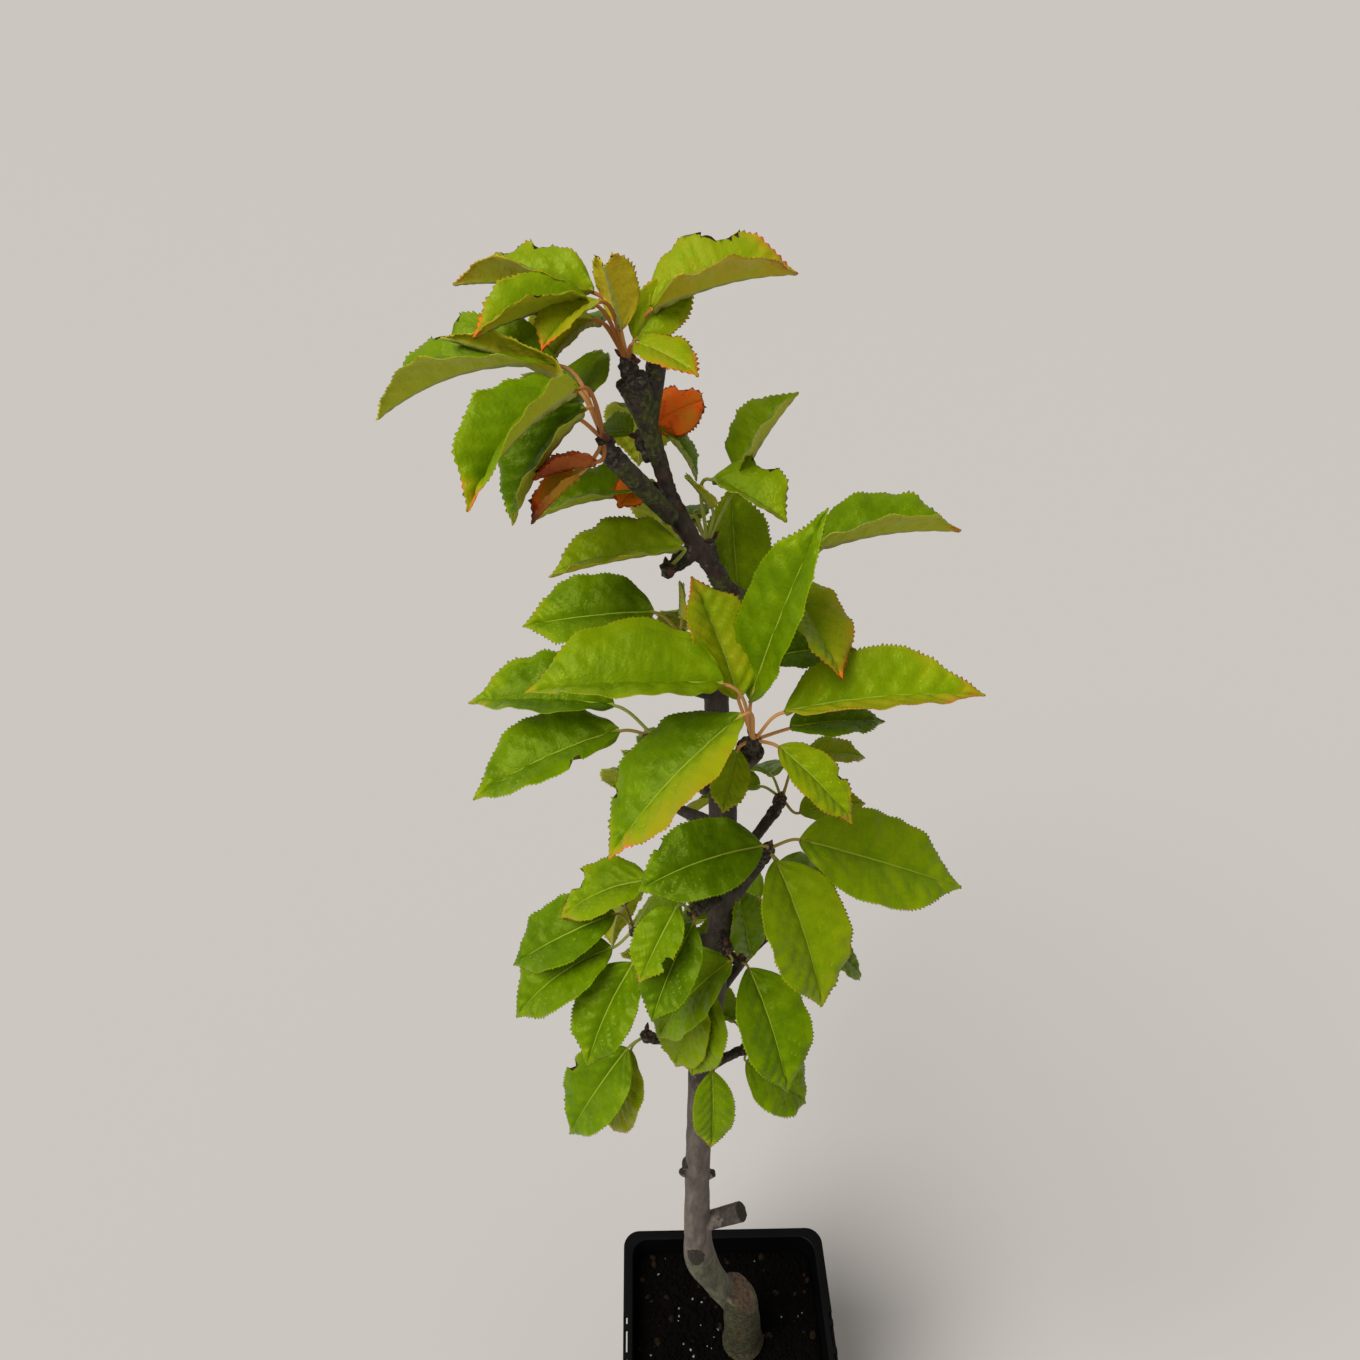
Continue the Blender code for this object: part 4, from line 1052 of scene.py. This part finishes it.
    def grow_into(self, shell: Shell) -> None:
        """Adds the blade's upper and lower faces to a shell."""
        points, normals, veins = self.place()
        rows, columns = self.x.shape
        t = self.x / self.length
        share = np.clip(np.abs(self.y) / self.width(t), 0, 1)
        thick = np.full(self.x.shape, FORM.thickness_mm * MM)
        thick += np.where(np.abs(np.arange(columns) - self.middle) < 1, FORM.ridge_mm * MM * (1.1 - t), 0)
        thick += 0.12 * MM * np.clip(veins * 2 - 1.2, 0, 1) * (share < 0.9)
        lower = points - normals * thick[..., None]
        joined = self.snapped.copy()
        joined[:, 0] = joined[:, -1] = joined[0, :] = joined[-1, :] = True
        base = len(shell.points)
        number = np.arange(rows * columns).reshape(rows, columns)
        below = np.where(joined, number, number + rows * columns)
        shell.points.extend(map(tuple, points.reshape(-1, 3)))
        shell.points.extend(map(tuple, lower.reshape(-1, 3)))
        for i in range(rows - 1):
            for j in range(columns - 1):
                corners = ((i, j), (i + 1, j), (i + 1, j + 1), (i, j + 1))
                if not all(self.kept[c] for c in corners):
                    continue
                rims = sum(bool(self.snapped[c]) for c in corners)
                if rims == 4:
                    continue
                x, y, near, vein = (sum(float(row[c]) for c in corners) / 4 for row in (self.x, self.y, share, veins))
                value = self.tint(x, y, near, vein)
                top, under = self.face_tints(value, j, columns)
                if rims >= 2 and self.rng.random() < 0.5:
                    top = under = PALETTE.mark(LeafMark.SCAB)
                shell.faces.append(tuple(base + int(number[c]) for c in corners))
                shell.tones.append(top)
                shell.faces.append(tuple(base + int(below[c]) for c in reversed(corners)))
                shell.tones.append(under)

    def face_tints(self, value: float, column: int, columns: int) -> tuple[int, int]:
        """Numbers of a face's upper and lower tint; the margin is paler, and so is the midrib."""
        if column in (0, columns - 2):
            return PALETTE.upper(value + 1.2), PALETTE.under(value)
        if column in (self.middle - 1, self.middle) and value < 7.5:
            return PALETTE.mark(LeafMark.MIDRIB), PALETTE.mark(LeafMark.UNDER_RIB)
        return PALETTE.upper(value), PALETTE.under(value)


@dataclass
class Foliage:
    """Every leaf of the tree with its stalk, and the buds that sit among the stalks."""

    piece_triangles: int = 170_000
    stalk_sides: int = 8
    stalk_steps: int = 12
    stalk_foot_mm: float = 2.0
    stalk_middle_mm: float = 1.25
    stalk_end_mm: float = 1.1
    bud_mm: float = 4.4
    russet_from_mm: float = 715

    def build(self) -> None:
        """Builds leaves, stalks and buds."""
        wooden = [row["node"] for row in frame["record"]["subparts"] if row["material_slot"] == "bark"]
        limbs = []
        for name in wooden:
            bm = bmesh.new()
            bm.from_mesh(frame["nodes"][name].data)
            limbs.append(BVHTree.FromBMesh(bm, epsilon=0))
            bm.free()
        sprays = grow(limbs)
        self.build_leaves(sprays)
        self.build_stalks(sprays)
        self.build_buds(sprays)

    def build_leaves(self, sprays: dict[Cluster, list[Spray]]) -> None:
        """Joins the blades into as few pieces as the size of a piece allows."""
        skins = [skin.make() for skin in PALETTE.rows]
        rng = random.Random(7)
        shell, nodes, number = Shell(), [], 1
        for k, (cluster, row) in enumerate(sprays.items()):
            for spray in row:
                Blade(spray, rng).grow_into(shell)
            nodes.append(cluster.name)
            if shell.triangles > self.piece_triangles or k == len(sprays) - 1:
                piece = shell.make("leaves_%d" % number, skins)
                bpy.context.view_layer.update()
                self.tidy(piece)
                place_piece(piece, nodes)
                shell, nodes, number = Shell(), [], number + 1

    @staticmethod
    def tidy(piece: bpy.types.Object) -> None:
        """Drops points that no face uses."""
        bm = bmesh.new()
        bm.from_mesh(piece.data)
        loose = [vert for vert in bm.verts if not vert.link_faces]
        bmesh.ops.delete(bm, geom=loose, context="VERTS")
        bm.to_mesh(piece.data)
        bm.free()

    def build_stalks(self, sprays: dict[Cluster, list[Spray]]) -> None:
        """Joins the stalks, which swell at their feet."""
        shell = Shell()
        rng = random.Random(8)
        for cluster, row in sprays.items():
            for spray in row:
                places = spray.bezier(self.stalk_steps)
                end = spray.midrib(0.06)[0]
                sizes = []
                for i in range(self.stalk_steps + 1):
                    t = i / self.stalk_steps
                    foot = max(0.0, 1 - 5 * t)
                    size = self.stalk_middle_mm + (self.stalk_foot_mm - self.stalk_middle_mm) * foot
                    size += (self.stalk_end_mm - self.stalk_middle_mm) * t
                    sizes.append(size * MM / 2)
                route = [*zip(places, sizes), (end, self.stalk_end_mm * 0.35 * MM)]
                shell.add(*sweep(route, self.stalk_sides), self.stalk_tone(cluster, rng))
        skins = [LeafSkin("stalk_" + tone.name.lower(), tone.value, 0.45, 0.9, 0.05).make() for tone in StalkTone]
        place_piece(shell.make("leaf_stalks", skins))

    def stalk_tone(self, cluster: Cluster, rng: random.Random) -> int:
        """Tone of a stalk: russet at the top of the tree, peach at the front spur, green below."""
        tones = tuple(StalkTone)
        if cluster.head[2] > self.russet_from_mm:
            return tones.index(rng.choice((StalkTone.RUSSET, StalkTone.PEACH)))
        if cluster.name == "centre_front_leaves":
            return tones.index(StalkTone.PEACH)
        return tones.index(rng.choice((StalkTone.OLIVE, StalkTone.GREEN)))

    def build_buds(self, sprays: dict[Cluster, list[Spray]]) -> None:
        """Joins the pointed buds at the heads."""
        shell = Shell()
        rng = random.Random(9)
        profile = ((0.0, 0.55), (0.2, 0.95), (0.45, 1.0), (0.7, 0.7), (0.9, 0.3), (1.0, 0.05))
        for cluster in sprays:
            head = Vector(cluster.head) * MM
            for _ in range(2):
                way = polar(rng.uniform(0, 360), rng.uniform(15, 75))
                length = self.bud_mm * MM * rng.uniform(0.7, 1.1)
                start = head + way * 1.6 * MM
                route = [(start + way * length * t, length * 0.26 * wide) for t, wide in profile]
                shell.add(*sweep(route, 10), 0)
        skin = BarkSkin("bud_scales", "#26120B", "#532A19", "#855036", grain_mm=1.1)
        place_piece(shell.make("buds", [skin.make()]))


# Wood

@dataclass
class Wood:
    """Rootstock, trunk, stubs, boughs and the masses' stems under one skin of bark."""

    voxel_mm: float = 0.7
    trunk_step_mm: float = 3
    bough_step_mm: float = 2
    limb_sides: int = 20
    stock_sides: int = 32
    sunk_mm: float = 3.0
    cut_place: tuple[float, float, float] = (3.5, 6.5, 209)
    cut_slope: float = 46
    scar_place: tuple[float, float, float] = (-25.6, -1, 269.9)
    scar_mm: float = 4.8
    scar_upright: float = 0.62
    greened_below_mm: float = 264
    stub_from_mm: float = -15
    smooth_from_mm: float = 686
    smooth_to_mm: float = 722
    smooth_behind_mm: float = 17
    stem_foot_mm: float = 4.4
    stem_middle_mm: float = 5.0
    stem_head_mm: float = 5.2
    stem_crown_mm: float = 3.2
    stem_over_mm: float = 1.5

    def build(self) -> None:
        """Grows one skin over all limbs, gives it relief and deals out the barks."""
        shell = Shell()
        for points, faces in self.limbs():
            shell.add(points, faces)
        piece = shell.make("bark", [BarkSkin(*tone.value).make() for tone in WoodTone])
        remesh = piece.modifiers.new("skin", "REMESH")
        remesh.mode = "VOXEL"
        remesh.voxel_size = self.voxel_mm * MM
        remesh.use_smooth_shade = True
        bpy.context.view_layer.update()
        skin = bpy.data.meshes.new_from_object(piece.evaluated_get(bpy.context.evaluated_depsgraph_get()))
        piece.modifiers.clear()
        piece.data = skin
        self.carve(skin)
        self.deal_barks(skin)
        place_piece(piece, ["trunk", *BOUGHS])

    def limbs(self) -> list[tuple[list, list]]:
        """Points and faces of every limb."""
        out = [self.stock()]
        out.append(sweep(smooth_route(TRUNK, self.trunk_step_mm), self.limb_sides))
        out += [sweep(smooth_route(stub, self.bough_step_mm), self.limb_sides) for stub in STUBS]
        for knots in BOUGHS.values():
            route = smooth_route(knots, self.bough_step_mm)
            sunk = route[0][0] + (route[0][0] - route[1][0]).normalized() * self.sunk_mm * MM
            out.append(sweep([(sunk, route[0][1]), *route], self.limb_sides))
        for cluster in CLUSTERS:
            foot = Vector(cluster.foot) * MM
            head = Vector(cluster.head) * MM
            ahead = (head - foot).normalized()
            places = (foot - ahead * self.sunk_mm * MM, foot, foot.lerp(head, 0.6), head,
                      head + ahead * self.stem_over_mm * MM)
            sizes = (self.stem_foot_mm, self.stem_foot_mm, self.stem_middle_mm, self.stem_head_mm, self.stem_crown_mm)
            out.append(sweep([(place, size * MM / 2) for place, size in zip(places, sizes)], self.limb_sides))
        return out

    def stock(self) -> tuple[list, list]:
        """Rootstock with its slanting cut."""
        points, faces = sweep(smooth_route(ROOTSTOCK, self.trunk_step_mm), self.stock_sides)
        bm = bmesh.new()
        verts = [bm.verts.new((p.x, p.y, max(p.z, ROOTSTOCK[0].z * MM))) for p in points]
        for face in faces:
            bm.faces.new([verts[i] for i in face])
        slope = math.radians(self.cut_slope)
        everything = bm.verts[:] + bm.edges[:] + bm.faces[:]
        cut = bmesh.ops.bisect_plane(bm, geom=everything, plane_co=Vector(self.cut_place) * MM,
                                     plane_no=(math.sin(slope), 0, math.cos(slope)), clear_outer=True)
        rim = [item for item in cut["geom_cut"] if isinstance(item, bmesh.types.BMEdge)]
        bmesh.ops.holes_fill(bm, edges=rim, sides=0)
        bm.verts.index_update()
        out = ([vert.co.copy() for vert in bm.verts], [tuple(v.index for v in face.verts) for face in bm.faces])
        bm.free()
        return out

    @staticmethod
    def spur_share(place: Vector) -> float:
        """How near a place is to a spur or to the leader's old head, from 0 to 1."""
        heads = [Vector(cluster.head) * MM for cluster in CLUSTERS]
        near = min((place - head).length for head in heads) / MM
        return max(0.0, min(1.0, (14 - near) / 9))

    def carve(self, skin: bpy.types.Mesh) -> None:
        """Moves the bark's points along their normals: lumps, scales, cracks and rings."""
        normals = [vert.normal.copy() for vert in skin.vertices]
        for vert, normal in zip(skin.vertices, normals):
            place = vert.co / MM
            spur = self.spur_share(vert.co)
            lump = noise.noise(place / 11) * 0.3
            fine = noise.fractal(place / 1.7, 0.9, 2.1, 3) * (0.08 + 0.42 * spur)
            scale = -abs(noise.noise(Vector((place.x / 2.4, place.y / 2.4, place.z / 5)))) * 0.35
            ring = math.sin(place.z * 1.9 + noise.noise(place / 6) * 3) * 0.3 * spur
            crack = scale * (0.3 + 0.7 * spur + (0.6 if place.z < 205 else 0))
            vert.co += normal * (lump + fine + crack + ring + 0.12) * MM

    def deal_barks(self, skin: bpy.types.Mesh) -> None:
        """Gives each face the bark of its place."""
        tones = tuple(WoodTone)
        slope = math.radians(self.cut_slope)
        cut_normal = Vector((math.sin(slope), 0, math.cos(slope)))
        cut_place = Vector(self.cut_place) * MM
        ends = [(stub[-1].place, (stub[-1].place - stub[-2].place).normalized(), stub[-1].diameter) for stub in STUBS]
        dealt = []
        for face in skin.polygons:
            place = Vector(face.center)
            dealt.append(tones.index(self.bark_at(place, face.normal, cut_place, cut_normal, ends)))
        skin.materials.clear()
        for tone in tones:
            skin.materials.append(bpy.data.materials[tone.value[0]])
        skin.polygons.foreach_set("material_index", dealt)
        skin.update()

    def bark_at(self, place: Vector, normal: Vector, cut_place: Vector, cut_normal: Vector,
                ends: Sequence[tuple[Vector, Vector, float]]) -> WoodTone:
        """Bark of a face.

        Args:
            place: the face's middle in metres.
            normal: its direction.
            cut_place: a point on the rootstock's cut.
            cut_normal: the direction that the cut faces.
            ends: the stubs' cut ends as place, direction and diameter in mm.

        Returns:
            The bark.
        """
        spot = place / MM
        cloud = noise.noise(spot / 4)
        fine = noise.noise(spot / 1.3 + Vector((7, 3, 5)))
        if abs((place - cut_place).dot(cut_normal)) < 1.2 * MM and normal.dot(cut_normal) > 0.75:
            return WoodTone.MOSS if spot.x + 6 * cloud > 13 else WoodTone.CUT
        for end, way, diameter in ends:
            if (place - end).length < diameter * 0.62 * MM and normal.dot(way) > 0.55:
                return WoodTone.SCAR
        if spot.x > -6 and spot.z < 212 and self.in_stock(spot):
            return WoodTone.MOSS if cloud > 0.42 else WoodTone.STOCK
        from_scar = spot - Vector(self.scar_place)
        away = math.hypot(from_scar.x, from_scar.z * self.scar_upright)
        if from_scar.y < self.scar_mm and away < self.scar_mm + 0.5 * cloud:
            return WoodTone.SCAR
        if self.spur_share(place) > 0.5 + 0.3 * cloud:
            return WoodTone.FLECK if fine > 0.36 else WoodTone.SPUR
        if spot.z > 650:
            if self.smooth_from_mm < spot.z < self.smooth_to_mm and spot.y > self.smooth_behind_mm:
                return WoodTone.UPPER
            return WoodTone.LICHEN if cloud > -0.1 else WoodTone.SPUR if fine > 0.1 else WoodTone.UPPER
        if spot.z > 430 + 30 * cloud or spot.x > self.stub_from_mm + 4 * cloud and spot.z > 290:
            return WoodTone.MIDDLE
        return WoodTone.GREENED if spot.z < self.greened_below_mm + 8 * cloud else WoodTone.LOWER

    @staticmethod
    def in_stock(spot: Vector) -> bool:
        """Whether a place in millimetres belongs to the rootstock."""
        return (spot.x + 12) * 0.7 + (spot.z - 224) * 0.5 < 4 and spot.z < 212 or spot.z < 182


# Pot and soil

@dataclass
class Pot:
    """Square blow-moulded nursery pot with a turned-down lip."""

    rim_side: float = 130 * MM
    height: float = 160 * MM
    foot_side: float = 98 * MM
    wall: float = 1.8 * MM
    lip_reach: float = 4 * MM
    lip_drop: float = 11 * MM
    corner_radius: float = 10 * MM
    corner_steps: int = 10
    edge_radius: float = 0.75 * MM
    edge_steps: int = 4
    drain_diameter: float = 9 * MM
    drain_place: float = 32 * MM
    slot_depth: float = 2.6 * MM
    slot_lengths: tuple[float, ...] = (4 * MM, 12 * MM, 4 * MM)
    slot_gap: float = 3.5 * MM

    def ring(self, half: float, height: float) -> list[Vector]:
        """Corner points of a square with rounded corners, counted round +Z."""
        radius = min(self.corner_radius, half)
        middle = half - radius
        points = []
        for corner in range(4):
            quarter = polar(90 * corner + 45, 0) * middle * math.sqrt(2)
            for k in range(self.corner_steps + 1):
                turn = 90 * (corner + k / self.corner_steps)
                points.append(quarter + polar(turn, 0) * radius + Vector((0, 0, height)))
        return points

    def section(self) -> list[tuple[float, float]]:
        """The wall's section as half sides and heights, its corners rounded."""
        wall_half = self.rim_side / 2 - self.lip_reach
        lip_half = self.rim_side / 2
        under = lip_half - self.wall
        corners = (
            (self.foot_side / 2, 0), (wall_half, self.height - self.wall), (under, self.height - self.wall),
            (under, self.height - self.lip_drop), (lip_half, self.height - self.lip_drop), (lip_half, self.height),
            (wall_half - self.wall, self.height), (self.foot_side / 2 - self.wall, self.wall),
        )
        places = [(self.foot_side / 2 - 2 * self.edge_radius, 0), *corners,
                  (self.foot_side / 2 - self.wall - 2 * self.edge_radius, self.wall)]
        out = [places[0]]
        for before, here, after in zip(places, places[1:], places[2:]):
            a, b, c = Vector(before), Vector(here), Vector(after)
            reach = min(self.edge_radius, (a - b).length / 2.2, (c - b).length / 2.2)
            p, q = b + (a - b).normalized() * reach, b + (c - b).normalized() * reach
            for k in range(self.edge_steps + 1):
                t = k / self.edge_steps
                out.append(tuple(p * (1 - t) ** 2 + b * 2 * t * (1 - t) + q * t * t))
        out.append(places[-1])
        return out

    def build(self) -> None:
        """Lofts the wall, cuts slots and drain holes, and dresses it."""
        rings = [self.ring(*place) for place in self.section()]
        shell = Shell()
        count = len(rings[0])
        faces = [(i * count + k, i * count + (k + 1) % count, (i + 1) * count + (k + 1) % count, (i + 1) * count + k)
                 for i in range(len(rings) - 1) for k in range(count)]
        faces += [tuple(reversed(range(count))), tuple(range((len(rings) - 1) * count, len(rings) * count))]
        shell.add([point for row in rings for point in row], faces)
        piece = shell.make("nursery_pot", [MouldedPlastic().make()])
        cutters = self.cutters()
        cut = piece.modifiers.new("holes", "BOOLEAN")
        cut.operation = "DIFFERENCE"
        cut.solver = "EXACT"
        cut.object = cutters
        bpy.context.view_layer.update()
        mesh = bpy.data.meshes.new_from_object(piece.evaluated_get(bpy.context.evaluated_depsgraph_get()))
        piece.modifiers.clear()
        piece.data = mesh
        mesh.set_sharp_from_angle(angle=math.radians(38))
        bpy.data.objects.remove(cutters)
        place_piece(piece, ["pot"])

    def cutters(self) -> bpy.types.Object:
        """One mesh of all that is cut out of the pot."""
        bm = bmesh.new()
        for turn in range(45, 360, 90):
            made = bmesh.ops.create_cone(bm, cap_ends=True, segments=32, radius1=self.drain_diameter / 2,
                                         radius2=self.drain_diameter / 2, depth=6 * self.wall)
            bmesh.ops.translate(bm, verts=made["verts"], vec=polar(turn, 0) * self.drain_place * math.sqrt(2))
        for side in (-1, 1):
            along = -(sum(self.slot_lengths) + self.slot_gap * (len(self.slot_lengths) - 1)) / 2
            for length in self.slot_lengths:
                made = bmesh.ops.create_cube(bm, size=1)
                bmesh.ops.scale(bm, verts=made["verts"], vec=(2 * self.slot_depth, length, 3 * self.wall))
                middle = Vector((side * self.rim_side / 2, along + length / 2, self.height))
                bmesh.ops.translate(bm, verts=made["verts"], vec=middle)
                along += length + self.slot_gap
        mesh = bpy.data.meshes.new("pot_cutters")
        bm.to_mesh(mesh)
        bm.free()
        obj = bpy.data.objects.new("pot_cutters", mesh)
        bpy.context.scene.collection.objects.link(obj)
        return obj


@dataclass
class Soil:
    """Potting soil: dark peat and bark crumbs with pale mineral grains."""

    top: float = 148 * MM
    half: float = 57.6 * MM
    depth: float = 20 * MM
    cells: int = 84
    crumbs: int = 2600
    grains: int = 70
    chips: int = 70
    trunk_place: tuple[float, float] = (9 * MM, 3.5 * MM)
    trunk_clear: float = 12 * MM

    def build(self) -> None:
        """Builds the bed and everything that lies in it."""
        shell = Shell()
        self.add_bed(shell)
        rng = random.Random(11)
        for _ in range(self.crumbs):
            self.add_lump(shell, rng, rng.uniform(0.5, 1.5), 0.8, 0 if rng.random() < 0.8 else 1)
        for _ in range(self.chips):
            self.add_lump(shell, rng, rng.uniform(1.0, 2.6), 0.35, 2)
        for _ in range(self.grains):
            self.add_lump(shell, rng, rng.uniform(0.4, 1.0), 0.8, 3)
        skins = [Crumb("peat", "#020201", "#0C0906"), Crumb("dark_humus", "#010101", "#080604"),
                 Crumb("bark_fines", "#0E0905", "#33251A"), Crumb("expanded_mineral", "#625D56", "#B0AA9D")]
        place_piece(shell.make("potting_soil", [skin.make() for skin in skins]), ["soil"])

    def height(self, x: float, y: float) -> float:
        """Height of the bed's surface."""
        spot = Vector((x, y, 0)) / MM
        edge = max(0.0, max(abs(x), abs(y)) / self.half - 0.86) / 0.14
        swell = noise.noise(spot / 17) * 0.9 + noise.noise(spot / 5) * 0.6 + noise.noise(spot / 1.9) * 0.35
        return self.top - (1.2 + 2.2 * edge ** 1.5) * MM + swell * 0.55 * MM

    def add_bed(self, shell: Shell) -> None:
        """Adds the bed: a rough surface, its sides and its underside."""
        n = self.cells
        points = []
        for i in range(n + 1):
            for j in range(n + 1):
                x, y = self.half * (2 * i / n - 1), self.half * (2 * j / n - 1)
                corner = self.half - 9 * MM
                dx, dy = max(0.0, abs(x) - corner), max(0.0, abs(y) - corner)
                far = math.hypot(dx, dy)
                if far > 9 * MM:
                    x = math.copysign(corner + dx * 9 * MM / far, x)
                    y = math.copysign(corner + dy * 9 * MM / far, y)
                points.append((x, y, self.height(x, y)))
        faces = [(i * (n + 1) + j, (i + 1) * (n + 1) + j, (i + 1) * (n + 1) + j + 1, i * (n + 1) + j + 1)
                 for i in range(n) for j in range(n)]
        rim = [i * (n + 1) for i in range(n + 1)] + [n * (n + 1) + j for j in range(1, n + 1)]
        rim += [i * (n + 1) + n for i in range(n - 1, -1, -1)] + [j for j in range(n - 1, 0, -1)]
        shrink = 0.985
        start = len(points)
        points += [(points[k][0] * shrink, points[k][1] * shrink, self.top - self.depth) for k in rim]
        count = len(rim)
        for k in range(count):
            after = (k + 1) % count
            faces.append((rim[after], rim[k], start + k, start + after))
        faces.append(tuple(start + k for k in reversed(range(count))))
        shell.add(points, faces, 0)

    def add_lump(self, shell: Shell, rng: random.Random, radius_mm: float, flat: float, tone: int) -> None:
        """Adds one crumb, chip or grain, half sunk in the bed."""
        while True:
            x, y = (rng.uniform(-1, 1) * (self.half - 2.5 * MM) for _ in range(2))
            if math.hypot(x - self.trunk_place[0], y - self.trunk_place[1]) > self.trunk_clear:
                break
        spin = Matrix.Rotation(rng.uniform(0, math.tau), 3, "Z") @ Matrix.Rotation(rng.uniform(-0.6, 0.6), 3, "X")
        middle = Vector((x, y, self.height(x, y) + radius_mm * MM * 0.25))
        radius = radius_mm * MM
        golden = (1 + math.sqrt(5)) / 2
        corners = [Vector(c).normalized() for c in (
            (-1, golden, 0), (1, golden, 0), (-1, -golden, 0), (1, -golden, 0), (0, -1, golden), (0, 1, golden),
            (0, -1, -golden), (0, 1, -golden), (golden, 0, -1), (golden, 0, 1), (-golden, 0, -1), (-golden, 0, 1))]
        long = rng.uniform(1, 1.5)
        points = []
        for corner in corners:
            shape = Vector((corner.x * long, corner.y, corner.z * flat)) * radius * rng.uniform(0.75, 1.15)
            points.append(middle + spin @ shape)
        faces = ((0, 11, 5), (0, 5, 1), (0, 1, 7), (0, 7, 10), (0, 10, 11), (1, 5, 9), (5, 11, 4), (11, 10, 2),
                 (10, 7, 6), (7, 1, 8), (3, 9, 4), (3, 4, 2), (3, 2, 6), (3, 6, 8), (3, 8, 9), (4, 9, 5), (2, 4, 11),
                 (6, 2, 10), (8, 6, 7), (9, 8, 1))
        shell.add(points, faces, tone)


# Studio

@dataclass
class Studio:
    """Pale floor, soft overhead light and the camera at the photograph's viewing angle."""

    floor_colour: str = "#CBC6C1"
    floor_half: float = 30.0
    focal_px: float = 1020.0
    frame_px: float = 1360.0
    sensor_mm: float = 36.0
    pitch: float = 36.5
    roll: float = 2.5
    yaw: float = 3.5
    place: tuple[float, float, float] = (-0.0638, -0.2588, 0.8516)
    key_power: float = 2.75
    key_spread: float = 38.0
    key_from: tuple[float, float, float] = (-0.62, -0.44, 0.95)
    sky: str = "#F8F5F1"
    sky_strength: float = 0.345

    def build(self) -> None:
        """Sets the floor, the lights and the camera."""
        self.add_floor()
        self.add_lights()
        self.add_camera()

    def add_floor(self) -> None:
        """Wide matt floor."""
        mesh = bpy.data.meshes.new("floor")
        h = self.floor_half
        mesh.from_pydata([(-h, -h, 0), (h, -h, 0), (h, h, 0), (-h, h, 0)], [], [(0, 1, 2, 3)])
        floor = bpy.data.objects.new("floor", mesh)
        bpy.context.scene.collection.objects.link(floor)
        material, tree, shader, _ = blank("painted_floor")
        shader.inputs["Base Color"].default_value = linear(self.floor_colour)
        shader.inputs["Roughness"].default_value = 0.95
        mesh.materials.append(material)

    def add_lights(self) -> None:
        """Wide soft light from the left, and an even pale sky."""
        data = bpy.data.lights.new("key", "SUN")
        data.angle = math.radians(self.key_spread)
        data.energy = self.key_power
        key = bpy.data.objects.new("key", data)
        bpy.context.scene.collection.objects.link(key)
        key.rotation_euler = Vector(self.key_from).to_track_quat("Z", "Y").to_euler()
        world = bpy.data.worlds.new("sky")
        world.use_nodes = True
        ground = world.node_tree.nodes["Background"]
        ground.inputs["Color"].default_value = linear(self.sky)
        ground.inputs["Strength"].default_value = self.sky_strength
        bpy.context.scene.world = world
        bpy.context.scene.view_settings.view_transform = "Standard"

    def add_camera(self) -> None:
        """Camera fitted to the pot's rim and the tree."""
        p, r, y = (math.radians(a) for a in (self.pitch, self.roll, self.yaw))
        heading = Vector((math.sin(y), math.cos(y), 0))
        level = Vector((math.cos(y), -math.sin(y), 0))
        rise = heading * math.sin(p) + Vector((0, 0, math.cos(p)))
        forward = heading * math.cos(p) - Vector((0, 0, math.sin(p)))
        right = level * math.cos(r) + rise * math.sin(r)
        up = rise * math.cos(r) - level * math.sin(r)
        data = bpy.data.cameras.new("camera")
        data.sensor_width = self.sensor_mm
        data.lens = self.focal_px / self.frame_px * self.sensor_mm
        data.clip_start = 0.01
        camera = bpy.data.objects.new("camera", data)
        bpy.context.scene.collection.objects.link(camera)
        camera.matrix_world = Matrix.Translation(self.place) @ Matrix((right, up, -forward)).transposed().to_4x4()
        bpy.context.scene.camera = camera


def main() -> None:
    """Builds everything in order."""
    logging.basicConfig(level=logging.INFO, format="%(name)s: %(message)s")
    Studio().build()
    Wood().build()
    Foliage().build()
    Pot().build()
    Soil().build()


if __name__ == "__main__":
    main()
